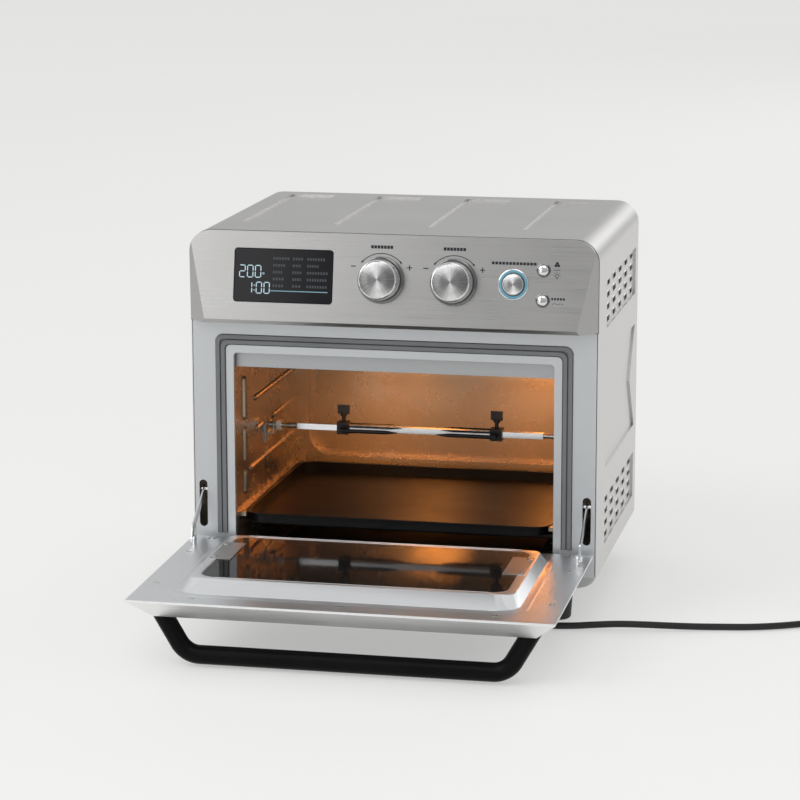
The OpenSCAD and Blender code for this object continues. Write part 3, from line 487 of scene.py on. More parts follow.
@dataclass(frozen=True)
class Glow:
    """A lit surface.

    Attributes:
        name: the material's name.
        colour: the light's colour.
        power: how bright it is.
        body: the colour of the unlit surface.
    """

    name: str
    colour: Colour
    power: float
    body: Colour = (0.02, 0.02, 0.02, 1.0)

    def material(self) -> bpy.types.Material:
        """Makes the material.

        Returns:
            The material.
        """
        bench = Bench(self.name)
        flicker = bench.noise(bench.place(), 500.0, 2.0)
        light = bench.mix(flicker, scaled(self.colour, 0.85), self.colour)
        return bench.finish(
            Base_Color=self.body, Roughness=0.3, Emission_Color=light, Emission_Strength=self.power
        )


# --------------------------------------------------------------- modelling


class Workbench:
    """Modelling tools on one object at a time, as by hand."""

    @staticmethod
    def clear() -> None:
        """Leaves edit mode and deselects everything."""
        if bpy.context.object and bpy.context.object.mode != "OBJECT":
            bpy.ops.object.mode_set(mode="OBJECT")
        bpy.ops.object.select_all(action="DESELECT")

    @staticmethod
    def take(piece: bpy.types.Object) -> bpy.types.Object:
        """Selects one piece alone and makes it active.

        Args:
            piece: the object to work on.

        Returns:
            The same object.
        """
        Workbench.clear()
        piece.select_set(True)
        bpy.context.view_layer.objects.active = piece
        return piece

    @staticmethod
    def named(name: str) -> bpy.types.Object:
        """Names the object that an operator has just added.

        Args:
            name: its new name, and its mesh's.

        Returns:
            The object.
        """
        piece = bpy.context.object
        piece.name = name
        piece.data.name = name
        return piece

    @staticmethod
    def block(name: str, low: Point, high: Point) -> bpy.types.Object:
        """A box from its low corner to its high corner.

        Args:
            name: the object's name.
            low: its lowest corner.
            high: its highest corner.

        Returns:
            The object, with its scale applied.
        """
        Workbench.clear()
        middle = [(a + b) / 2 for a, b in zip(low, high)]
        bpy.ops.mesh.primitive_cube_add(size=1, location=middle)
        piece = Workbench.named(name)
        piece.scale = [b - a for a, b in zip(low, high)]
        return Workbench.settle(piece)

    @staticmethod
    def turned(
        name: str,
        outline: Sequence[tuple[float, float]],
        matrix: Matrix,
        sides: int = 72,
        hollow: bool = False,
    ) -> bpy.types.Object:
        """A round piece, drawn out ring by ring from a circle.

        Args:
            name: the object's name.
            outline: the radius and height of each ring, in millimetres.
            matrix: where its foot and its axis, +Z, go.
            sides: how many sides it has.
            hollow: whether the last ring joins the first, as in a washer.

        Returns:
            The object.
        """
        Workbench.clear()
        (radius, height), *rest = outline
        fill = "NOTHING" if hollow else "NGON"
        bpy.ops.mesh.primitive_circle_add(
            vertices=sides, radius=radius * MM, fill_type=fill, location=(0, 0, height * MM)
        )
        piece = Workbench.settle(Workbench.named(name))
        bpy.ops.object.mode_set(mode="EDIT")
        bpy.ops.mesh.select_mode(type="EDGE" if hollow else "FACE")
        bpy.ops.mesh.select_all(action="SELECT")
        for wide, high in rest:
            bpy.ops.mesh.extrude_region_move(TRANSFORM_OT_translate={"value": (0, 0, (high - height) * MM)})
            bpy.ops.transform.resize(value=(wide / radius, wide / radius, 1))
            radius, height = wide, high
        if hollow:
            bpy.ops.mesh.select_all(action="DESELECT")
            bpy.ops.mesh.select_non_manifold()
            bpy.ops.mesh.bridge_edge_loops()
        bpy.ops.mesh.select_all(action="SELECT")
        bpy.ops.mesh.normals_make_consistent(inside=False)
        Workbench.done()
        Workbench.carry(piece, matrix)
        return Workbench.smooth(piece, 30)

    @staticmethod
    def bar(name: str, length: float, width: float, depth: float, point: float = 0.0) -> bpy.types.Object:
        """A flat bar along X on the plane y = 0, with pointed ends if wanted.

        Args:
            name: the object's name.
            length: its length without the points, in millimetres.
            width: its width along Z.
            depth: how far it stands out towards -Y.
            point: how long each pointed end is.

        Returns:
            The object.
        """
        low = (-length / 2 * MM, -depth * MM, -width / 2 * MM)
        piece = Workbench.block(name, low, (length / 2 * MM, 0.00002, width / 2 * MM))
        for side in (-1, 1):
            if point > 0:
                Workbench.pick_faces(piece, lambda _, normal, s=side: normal.x * s > 0.5)
                bpy.ops.mesh.extrude_region_move(TRANSFORM_OT_translate={"value": (side * point * MM, 0, 0)})
                bpy.ops.transform.resize(value=(1, 1, 0.08))
                Workbench.done()
        return piece

    @staticmethod
    def band(
        name: str, radius: float, width: float, depth: float, middle: float, spread: float
    ) -> bpy.types.Object:
        """A flat arc on the plane y = 0, spun from a small bar.

        Args:
            name: the object's name.
            radius: its radius, in millimetres.
            width: how wide it is.
            depth: how far it stands out towards -Y.
            middle: the angle of its middle from +X, in degrees.
            spread: how far it runs to each side of that, in degrees.

        Returns:
            The object.
        """
        inner, outer = (radius - width / 2) * MM, (radius + width / 2) * MM
        piece = Workbench.block(name, (inner, -depth * MM, -0.00001), (outer, 0.00002, 0.0))
        Workbench.pick_faces(piece, lambda _, normal: normal.z > 0.5)
        steps = max(6, round(spread / 4))
        bpy.ops.mesh.spin(steps=steps, angle=math.radians(2 * spread), center=(0, 0, 0), axis=(0, 1, 0))
        bpy.ops.mesh.select_all(action="SELECT")
        bpy.ops.mesh.remove_doubles(threshold=1e-6)
        bpy.ops.mesh.normals_make_consistent(inside=False)
        Workbench.done()
        return Workbench.carry(piece, Matrix.Rotation(math.radians(spread - middle), 4, "Y"))

    @staticmethod
    def settle(piece: bpy.types.Object) -> bpy.types.Object:
        """Applies a piece's place, turn and scale to its mesh.

        Args:
            piece: the object to settle.

        Returns:
            The same object.
        """
        Workbench.take(piece)
        bpy.ops.object.transform_apply(location=True, rotation=True, scale=True)
        return piece

    @staticmethod
    def carry(piece: bpy.types.Object, matrix: Matrix) -> bpy.types.Object:
        """Moves a piece by a matrix and applies the move."""
        piece.matrix_world = matrix @ piece.matrix_world
        return Workbench.settle(piece)

    @staticmethod
    def edit(piece: bpy.types.Object, mode: str = "FACE") -> None:
        """Opens a piece in edit mode with nothing selected.

        Args:
            piece: the object to edit.
            mode: VERT, EDGE or FACE.
        """
        Workbench.take(piece)
        bpy.ops.object.mode_set(mode="EDIT")
        bpy.ops.mesh.select_mode(type=mode)
        bpy.ops.mesh.select_all(action="DESELECT")
        bpy.ops.object.mode_set(mode="OBJECT")

    @staticmethod
    def pick_faces(piece: bpy.types.Object, test: Callable[[Vector, Vector], bool]) -> None:
        """Selects faces by their middle and normal, and stays in edit mode.

        Args:
            piece: the object to edit.
            test: says whether a face with that middle and normal is taken.
        """
        Workbench.edit(piece)
        for face in piece.data.polygons:
            face.select = test(face.center, face.normal)
        bpy.ops.object.mode_set(mode="EDIT")

    @staticmethod
    def pick_corners(piece: bpy.types.Object, test: Callable[[Vector], bool]) -> None:
        """Selects vertices by their place, and stays in edit mode.

        Args:
            piece: the object to edit.
            test: says whether a vertex at that place is taken.
        """
        Workbench.edit(piece, "VERT")
        for corner in piece.data.vertices:
            corner.select = test(corner.co)
        bpy.ops.object.mode_set(mode="EDIT")

    @staticmethod
    def done() -> None:
        """Closes edit mode."""
        bpy.ops.object.mode_set(mode="OBJECT")

    @staticmethod
    def modify(piece: bpy.types.Object, kind: str, **settings: object) -> bpy.types.Object:
        """Adds a modifier and applies it.

        Args:
            piece: the object to change.
            kind: the modifier's type.
            settings: its properties.

        Returns:
            The same object.
        """
        Workbench.take(piece)
        modifier = piece.modifiers.new(kind.lower(), kind)
        for name, value in settings.items():
            setattr(modifier, name, value)
        bpy.ops.object.modifier_apply(modifier=modifier.name)
        return piece

    @staticmethod
    def soften(piece: bpy.types.Object, width: float, steps: int = 2, angle: float = 35) -> bpy.types.Object:
        """Rounds a piece's sharp edges and smooths its shading.

        Args:
            piece: the object to change.
            width: how wide the rounding is.
            steps: how many faces it has.
            angle: the least angle of an edge that is rounded, in degrees.

        Returns:
            The same object.
        """
        Workbench.modify(
            piece, "BEVEL", width=width, segments=steps, limit_method="ANGLE", angle_limit=math.radians(angle)
        )
        Workbench.smooth(piece, angle)
        return Workbench.modify(piece, "WEIGHTED_NORMAL", weight=100, keep_sharp=True)

    @staticmethod
    def smooth(piece: bpy.types.Object, angle: float = 35) -> bpy.types.Object:
        """Shades a piece smooth, except at its sharp edges.

        Args:
            piece: the object to change.
            angle: the least angle of an edge that stays sharp, in degrees.

        Returns:
            The same object.
        """
        Workbench.take(piece)
        bpy.ops.object.shade_smooth_by_angle(angle=math.radians(angle))
        return piece

    @staticmethod
    def join(name: str, pieces: Iterable[bpy.types.Object]) -> bpy.types.Object:
        """Joins pieces into one object.

        Args:
            name: the joined object's name.
            pieces: the pieces; the first one stays.

        Returns:
            The joined object.
        """
        parts = list(pieces)
        Workbench.take(parts[0])
        for part in parts[1:]:
            part.select_set(True)
        bpy.ops.object.join()
        return Workbench.named(name)

    @staticmethod
    def copy(piece: bpy.types.Object, name: str, matrix: Matrix) -> bpy.types.Object:
        """Copies a piece with a mesh of its own.

        Args:
            piece: the object to copy.
            name: the copy's name.
            matrix: how the copy is moved.

        Returns:
            The copy.
        """
        twin = piece.copy()
        twin.data = piece.data.copy()
        twin.name = name
        bpy.context.scene.collection.objects.link(twin)
        return Workbench.carry(twin, matrix)

    @staticmethod
    def dress(piece: bpy.types.Object, finish: bpy.types.Material) -> bpy.types.Object:
        """Gives a piece one material.

        Args:
            piece: the object to dress.
            finish: its material.

        Returns:
            The same object.
        """
        piece.data.materials.clear()
        piece.data.materials.append(finish)
        return piece


@dataclass
class Assembly:
    """What every sub-assembly needs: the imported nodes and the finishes.

    Attributes:
        nodes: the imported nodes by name.
        finishes: the materials by name.
    """

    nodes: dict[str, bpy.types.Object]
    finishes: dict[str, bpy.types.Material]

    def keep(self, finish: str, *names: str) -> None:
        """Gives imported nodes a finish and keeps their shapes.

        Args:
            finish: the finish's name.
            names: the nodes.
        """
        for name in names:
            Workbench.dress(self.nodes[name], self.finishes[finish])
            LOG.info("%s keeps its shape, finish %s", name, finish)

    def add(
        self, piece: bpy.types.Object, finish: str, body: str, slot: str, stands_for: Sequence[str] = ()
    ) -> bpy.types.Object:
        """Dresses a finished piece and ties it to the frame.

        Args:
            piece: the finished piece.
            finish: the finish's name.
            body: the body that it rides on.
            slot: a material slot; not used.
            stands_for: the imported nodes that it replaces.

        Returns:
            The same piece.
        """
        Workbench.dress(piece, self.finishes[finish])
        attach(piece, body)
        if stands_for:
            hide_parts(*stands_for)
        LOG.info("%s rides on %s", piece.name, body)
        return piece

    def refine(
        self, node: str, finish: str, body: str, slot: str, width: float, angle: float = 40
    ) -> bpy.types.Object:
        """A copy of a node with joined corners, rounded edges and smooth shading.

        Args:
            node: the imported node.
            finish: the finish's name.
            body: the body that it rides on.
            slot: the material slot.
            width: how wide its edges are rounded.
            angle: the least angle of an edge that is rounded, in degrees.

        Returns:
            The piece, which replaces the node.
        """
        source = self.nodes[node]
        piece = bpy.data.objects.new(f"{node}_fine", source.data.copy())
        bpy.context.scene.collection.objects.link(piece)
        Workbench.take(piece)
        bpy.ops.object.mode_set(mode="EDIT")
        bpy.ops.mesh.select_all(action="SELECT")
        bpy.ops.mesh.remove_doubles(threshold=1e-6)
        bpy.ops.mesh.dissolve_limited(angle_limit=math.radians(0.5))
        Workbench.done()
        if piece.data.has_custom_normals:
            bpy.ops.mesh.customdata_custom_splitnormals_clear()
        if width > 0:
            Workbench.soften(piece, width, 2, angle)
        else:
            Workbench.smooth(piece, angle)
        return self.add(piece, finish, body, slot, [node])


# ------------------------------------------------------------------ studio


@dataclass
class Studio:
    """Camera, lights and floor.

    Attributes:
        eye: where the camera stands.
        azimuth: its turn about Z, in degrees.
        elevation: how far it looks down, in degrees.
        roll: its tilt, in degrees.
        lens: its focal length in millimetres.
        sky: the surround's brightness from straight down to straight up, by height.
        sky_power: how strong the surround is.
        boxes: name, place, aim, side and power in watts of each soft box.
        floor_paint: the darkest and the lightest colour of the floor.
        floor_glow: how much light the floor gives off, so that it stays pale under the door.
    """

    eye: Point = (0.5753, -2.6685, 0.7717)
    azimuth: float = 12.106
    elevation: float = 11.70
    roll: float = -0.11
    lens: float = 130.68
    sky: tuple[tuple[float, Colour], ...] = (
        (0.0, grey(0.55)), (0.46, grey(0.5)), (0.56, grey(0.62)), (1.0, grey(1.0)),
    )  # fmt: skip
    sky_power: float = 0.76
    boxes: tuple[tuple[str, Point, Point, float, float], ...] = (
        ("key_left", (-2.4, -2.2, 2.6), (0.0, 0.0, 0.2), 2.4, 39.0),
        ("front_left", (-1.25, -2.6, 0.9), (0.0, 0.0, 0.2), 1.0, 5.0),
        ("fill_right", (2.6, -1.6, 1.6), (0.0, 0.0, 0.2), 1.6, 0.8),
        ("front_floor", (0.2, -2.4, 2.6), (0.0, -0.6, 0.0), 1.6, 13.0),
        ("back_sweep", (2.0, 4.4, 2.2), (0.0, 0.4, 0.2), 2.6, 26.0),
    )
    floor_paint: tuple[Colour, Colour] = ((0.49, 0.49, 0.48, 1.0), (0.51, 0.51, 0.495, 1.0))
    floor_glow: float = 0.41

    def camera(self) -> None:
        """Places the camera and makes it the scene's."""
        data = bpy.data.cameras.new("eye")
        data.lens = self.lens
        data.sensor_width = 36.0
        data.clip_end = 60.0
        camera = bpy.data.objects.new("eye", data)
        bpy.context.scene.collection.objects.link(camera)
        turn = Matrix.Rotation(math.radians(self.azimuth), 4, "Z")
        pitch = Matrix.Rotation(math.radians(90 - self.elevation), 4, "X")
        tilt = Matrix.Rotation(math.radians(self.roll), 4, "Z")
        camera.matrix_world = Matrix.Translation(self.eye) @ turn @ pitch @ tilt
        bpy.context.scene.camera = camera

    def lights(self) -> None:
        """A pale surround and the soft boxes."""
        world = bpy.data.worlds.new("surround")
        world.use_nodes = True
        tree = world.node_tree
        coords = tree.nodes.new("ShaderNodeTexCoord")
        split = tree.nodes.new("ShaderNodeSeparateXYZ")
        ramp = tree.nodes.new("ShaderNodeValToRGB")
        Bench.fill_ramp(ramp.color_ramp, self.sky)
        scale = tree.nodes.new("ShaderNodeMath")
        scale.operation = "MULTIPLY_ADD"
        scale.inputs[1].default_value = 0.5
        scale.inputs[2].default_value = 0.5
        tree.links.new(coords.outputs["Generated"], split.inputs[0])
        tree.links.new(split.outputs[2], scale.inputs[0])
        tree.links.new(scale.outputs[0], ramp.inputs[0])
        background = tree.nodes["Background"]
        tree.links.new(ramp.outputs[0], background.inputs["Color"])
        background.inputs["Strength"].default_value = self.sky_power
        bpy.context.scene.world = world
        for row in self.boxes:
            self.box(*row)

    @staticmethod
    def box(
        name: str,
        place: Point,
        aim: Point,
        size: float,
        power: float,
        colour: Point = (1, 1, 1),
        spread: float = 180.0,
    ) -> None:
        """A square soft box that points at a place.

        Args:
            name: the light's name.
            place: where it hangs.
            aim: the point that it faces.
            size: the length of its sides.
            power: its power in watts.
            colour: its colour.
            spread: the angle into which it shines, in degrees.
        """
        data = bpy.data.lights.new(name, "AREA")
        data.spread = math.radians(spread)
        data.size = size
        data.energy = power
        data.color = colour
        lamp = bpy.data.objects.new(name, data)
        bpy.context.scene.collection.objects.link(lamp)
        lamp.location = place
        lamp.rotation_euler = (Vector(aim) - Vector(place)).to_track_quat("-Z", "Y").to_euler()

    def floor(self) -> None:
        """A plain pale floor that runs on behind the oven."""
        Workbench.clear()
        bpy.ops.mesh.primitive_plane_add(size=40, location=(0, 8, -0.0002))
        piece = Workbench.named("floor")
        Workbench.settle(piece)
        bench = Bench("floor_paint")
        cloud = bench.noise(bench.place(), 1.2, 2.0)
        finish = bench.finish(
            Base_Color=bench.mix(cloud, *self.floor_paint),
            Roughness=0.6,
            Emission_Color=(1.0, 0.997, 0.985, 1.0),
            Emission_Strength=self.floor_glow,
        )
        Workbench.dress(piece, finish)
        bpy.context.scene.view_settings.view_transform = "Standard"

    def build(self) -> None:
        """Makes the whole studio."""
        self.camera()
        self.lights()
        self.floor()
        LOG.info("studio ready")


# -------------------------------------------------------------------- cord


@dataclass
class SupplyCord(Assembly):
    """The supply cord, its coil, its strain relief and its plug.

    Attributes:
        diameter: the cord's diameter.
        route: its points from the gland to the coil, in millimetres from the front frame.
        coil_at: the coil's middle, in the same way.
        coil_r: the radius of the turns, in millimetres.
        turns: how many turns there are.
        low: height of the cord's middle where it lies on the floor, in millimetres.
        pitch: how far a turn lies over the one before, in millimetres.
    """

    diameter: float = 0.0064
    coil_at: tuple[float, float] = (448.0, 90.0)
    coil_r: float = 35.2
    turns: int = 2
    low: float = 3.4
    pitch: float = 6.45
    route: tuple[Point, ...] = (
        (120, 305, 70), (120, 312, 70), (120, 322, 68), (120, 333, 60),
        (120, 340, 48), (120, 341, 34), (120, 337, 21), (120, 328, 10),
        (120, 315, 5.6), (120, 300, 3.9), (120, 240, 3.5), (119, 180, 3.4),
        (118, 120, 3.4), (117, 70, 3.4), (117, 30, 3.4), (122, 6, 3.4),
        (135, -12, 3.4), (155, -21, 3.4), (178, -20, 3.8), (200, -17, 5.2),
        (220, -14, 6.2), (242, -11, 6.2), (265, -7, 5.4), (290, -1, 4.2),
        (317, 6, 3.4), (346, 12, 3.4), (372, 22, 3.4), (396, 35, 3.4),
        (416, 46, 3.4), (432, 52, 3.4),
    )  # fmt: skip

    def points(self) -> list[Vector]:
        """The cord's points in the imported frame, with the turns of its coil.

        Returns:
            The points, in metres.
        """
        found = [Vector(p) / 1000 for p in self.route]
        steps = 20
        for k in range(self.turns * steps + 1):
            angle = math.radians(-90 + 360 * k / steps)
            across = self.coil_at[0] + self.coil_r * math.cos(angle)
            along = self.coil_at[1] + self.coil_r * math.sin(angle)
            found.append(Vector((across, along, self.low + self.pitch * k / steps)) / 1000)
        last = found[-1]
        found.append(last + Vector((0.008, 0.0, 0.0003)))
        found.append(last + Vector((0.018, 0.0, 0.0006)))
        return [p + Vector((0, SHIFT, 0)) for p in found]

    def line(self) -> bpy.types.Object:
        """Draws the cord as one smooth curve.

        Returns:
            The curve's object.
        """
        data = bpy.data.curves.new("supply_cord", "CURVE")
        data.dimensions = "3D"
        data.resolution_u = 6
        data.bevel_depth = self.diameter / 2
        data.bevel_resolution = 5
        data.use_fill_caps = True
        points = self.points()
        spline = data.splines.new("BEZIER")
        spline.bezier_points.add(len(points) - 1)
        for knot, place in zip(spline.bezier_points, points):
            knot.co = place
            knot.handle_left_type = knot.handle_right_type = "AUTO"
        cord = bpy.data.objects.new("supply_cord", data)
        bpy.context.scene.collection.objects.link(cord)
        return cord

    def length(self, cord: bpy.types.Object) -> float:
        """Measures the cord along its smooth line.

        Args:
            cord: the curve's object.

        Returns:
            Its length.
        """
        data = cord.data.copy()
        data.bevel_depth = 0.0
        probe = bpy.data.objects.new("probe", data)
        mesh = probe.to_mesh()
        ends = (edge.vertices for edge in mesh.edges)
        total = sum((mesh.vertices[a].co - mesh.vertices[b].co).length for a, b in ends)
        bpy.data.objects.remove(probe)
        return total

    def build(self) -> None:
        """Makes the cord and ties it to the frame."""
        cord = self.line()
        total = self.length(cord)
        self.add(cord, "cord_rubber", "oven", "cord", ["cord", "cord_coil"])
        self.keep("cord_rubber", "gland", "plug")
        exit_at = self.points()[0]
        LOG.info("cord is %.3f m long", total)


@dataclass
class Casing(Assembly):
    """Shell, back, base, feet and what lies between the shell and the cavity.

    Attributes:
        edge: how wide the folded edges of the sheet are rounded, in metres.
        wall: half the casing's width, in millimetres.
        sunk: depth of the pressed fields, in millimetres.
        columns: front, back and number of the slots' columns, in millimetres.
        rows: foot and top of each pierced field, in millimetres.
        row_count: how many rows of slots a field has.
        slot: half the straight part of a slot's length, in millimetres.
        lip: radius and height of each line of a slot's lip, in millimetres.
    """

    edge: float = 0.0006
    wall: float = 197.5
    sunk: float = 2.4
    columns: tuple[float, float, int] = (54.0, 259.0, 5)
    rows: tuple[tuple[float, float], ...] = ((66.0, 112.0), (278.0, 325.0))
    row_count: int = 4
    slot: float = 7.5
    lip: tuple[tuple[float, float], ...] = (
        (2.55, -0.3), (2.55, 0.55), (3.0, 0.8), (3.6, 0.5), (4.0, 0.0), (4.0, -0.3),
    )  # fmt: skip

    def slot_places(self) -> list[Vector]:
        """The middles of a side's slots, along and up, in metres.

        Returns:
            The places, with X at 0.
        """
        first, last, count = self.columns
        pitch = (last - first) / count
        return [
            Vector((0, first + (c + 0.5) * pitch, low + (r + 0.5) * (high - low) / self.row_count)) * MM
            for low, high in self.rows
            for c in range(count)
            for r in range(self.row_count)
        ]

    def make_vent_lips(self) -> None:
        """The pressed lips round the slots of both sides, copied from one model."""
        model = Workbench.turned("lip_model", self.lip, Matrix.Identity(4), 20, hollow=True)
        for side in (-1, 1):
            Workbench.pick_corners(model, lambda place, s=side: place.x * s > 1e-6)
            bpy.ops.transform.translate(value=(side * self.slot * MM, 0, 0))
            Workbench.done()
        upright = Matrix.Rotation(math.radians(90), 4, "Z")
        for side, name in ((-1, "vent_lips_left"), (1, "vent_lips_right")):
            face = Matrix.Translation((side * (self.wall - self.sunk) * MM, SHIFT, 0))
            turn = Matrix.Rotation(math.radians(side * 90), 4, "Y") @ upright
            lips = [
                Workbench.copy(model, "lip", face @ Matrix.Translation(place) @ turn)
                for place in self.slot_places()
            ]
            self.add(Workbench.join(name, lips), "casing_steel", "oven", "casing")
        bpy.data.objects.remove(model)

    def build(self) -> None:
        """Refines the casing and dresses what it hides."""
        self.make_vent_lips()
        self.refine("outer_shell", "casing_steel", "oven", "casing", self.edge)
        self.refine("back_cover", "back_steel", "oven", "casing", 0.0)
        self.refine("bottom_pan", "base_steel", "oven", "sheet", self.edge)
        for end in ("front_left", "front_right", "rear_left", "rear_right"):
            self.refine(f"foot_{end}", "foot_rubber", "oven", "feet", 0.0012)
        self.keep("motor_paint", "fan_motor", "rotisserie_motor")
        self.keep("plain_steel", "fan_shaft", "function_shaft", "temp_shaft")
        self.keep("shield_steel", "cooling_fan")
        self.keep("board_green", "control_board")


@dataclass
class Front(Assembly):
    """Front frame, gasket, bezel, hinges and link arms.

    Attributes:
        frame_edge: rounding of the frame's edges.
        bezel_edge: rounding of the bezel's edges.
        shadow_gap: half width, foot, top and corner of the black strip that paints the shadow in the gap
            round the bezel, in millimetres.
        shadow_gap_ahead: how far the line lies before the front frame's plane, in millimetres.
        shadow_gap_proud: how far the line stands out round the casing, in millimetres.
        shadow_gap_wide: how far the line reaches inwards, in metres.
        shadow_gap_deep: how far the line reaches back, in metres.
    """

    frame_edge: float = 0.0005
    bezel_edge: float = 0.0010
    shadow_gap: tuple[float, float, float, float] = (197.5, 282.0, 370.0, 22.0)
    shadow_gap_ahead: float = 0.7
    shadow_gap_proud: float = 0.08
    shadow_gap_wide: float = 0.0009
    shadow_gap_deep: float = 0.0010

    def make_shadow_gap_strip(self) -> None:
        """A black strip that paints the shadow in the gap between the bezel and the casing, an arch over the
        top.
        """
        half, foot, top, corner = self.shadow_gap
        Workbench.clear()
        bpy.ops.mesh.primitive_plane_add(size=1, rotation=(math.radians(90), 0, 0))
        piece = Workbench.named("bezel_seam")
        piece.location = (0, SHIFT - self.shadow_gap_ahead * MM, (foot + top) / 2 * MM)
        piece.scale = (2 * (half + self.shadow_gap_proud) * MM, (top - foot + 2 * self.shadow_gap_proud) * MM, 1)
        Workbench.settle(piece)
        Workbench.pick_corners(piece, lambda place: place.z > (foot + top) / 2 * MM)
        bpy.ops.mesh.bevel(offset=corner * MM, segments=14, affect="VERTICES")
        bpy.ops.mesh.select_all(action="SELECT")
        bpy.ops.mesh.inset(thickness=self.shadow_gap_wide)
        bpy.ops.mesh.delete(type="FACE")
        bpy.ops.mesh.select_all(action="SELECT")
        bpy.ops.mesh.extrude_region_move(TRANSFORM_OT_translate={"value": (0, self.shadow_gap_deep, 0)})
        bpy.ops.mesh.select_all(action="SELECT")
        bpy.ops.mesh.normals_make_consistent(inside=False)
        Workbench.done()
        # painted shade: a black strip where the gap between the bezel and the casing lies in shadow
        self.add(piece, "seam_black", "oven", "bezel")

    def build(self) -> None:
        """Refines the front's pieces."""
        self.refine("front_frame", "frame_steel", "oven", "front_frame", self.frame_edge)
        self.refine("gasket", "gasket_rubber", "oven", "gasket", 0.0005)
        self.refine("bezel", "bezel_steel", "oven", "bezel", self.bezel_edge)
        self.make_shadow_gap_strip()
        self.refine("hinge_brackets", "plain_steel", "oven", "sheet", 0.0003)
        self.refine("hinge_pins", "bright_steel", "oven", "sheet", 0.0002)
        for side in ("left", "right"):
            self.refine(f"link_arm_{side}", "bright_steel", f"link_arm_{side}", "sheet", 0.0003)


@dataclass
class Cavity(Assembly):
    """Walls, heaters, fan, lamp, spit and trays.

    Attributes:
        lamps: place, aim and power of the lights that stand for the lamp's glow.
        lamp_size: the length of their sides.
        lamp_colour: their colour.
        lamp_spread: the angle into which they shine, in degrees.
    """

    lamps: tuple[tuple[Point, Point, float], ...] = (
        ((0.12, 0.10, 0.221), (0.09, 0.24, 0.14), 0.21),
        ((-0.03, 0.10, 0.221), (-0.08, 0.24, 0.11), 0.19),
        ((0.05, 0.08, 0.221), (-0.17, 0.14, 0.13), 0.012),
    )
    lamp_size: float = 0.06
    lamp_colour: Point = (1.0, 0.40, 0.09)
    lamp_spread: float = 80.0

    def build(self) -> None:
        """Refines the cavity and lights it."""
        for wall in ("left", "right", "back"):
            self.refine(f"cavity_{wall}", "cavity_steel", "oven", "cavity", 0.0008, 30)
        self.refine("cavity_top", "cavity_steel", "oven", "cavity", 0.0)
        self.refine("cavity_floor", "cavity_steel", "oven", "cavity", 0.0004)
        self.refine("heat_shield", "shield_steel", "oven", "shield", 0.0005)
        self.refine("upper_heater", "heater_steel", "oven", "heater", 0.0)
        self.refine("lower_heaters", "heater_steel", "oven", "heater", 0.0)
        self.refine("fan_guard", "shield_steel", "oven", "fan", 0.0)
        self.refine("convection_fan", "shield_steel", "fan", "fan", 0.0)
        self.keep("lamp_light", "lamp_bulb", "lamp_cover")
        self.refine("drive_socket", "plain_steel", "rotisserie", "rotisserie", 0.0003)
        self.refine("spit_cradle", "plain_steel", "oven", "sheet", 0.0002)
        self.refine("spit", "bright_steel", "rotisserie", "spit", 0.0002)
        for side in ("left", "right"):
            self.refine(f"fork_{side}", "fork_black", f"fork_{side}", "fork", 0.0002)
            self.refine(f"fork_screw_{side}", "fork_black", f"fork_{side}", "fork", 0.0003)
        self.refine("baking_tray", "tray_enamel", "baking_tray", "tray", 0.0005)
        self.refine("crumb_tray", "crumb_steel", "crumb_tray", "crumb_tray", 0.0004)
        for number, (place, aim, power) in enumerate(self.lamps):
            name = f"oven_lamp_{number}"
            Studio.box(name, place, aim, self.lamp_size, power, self.lamp_colour, self.lamp_spread)


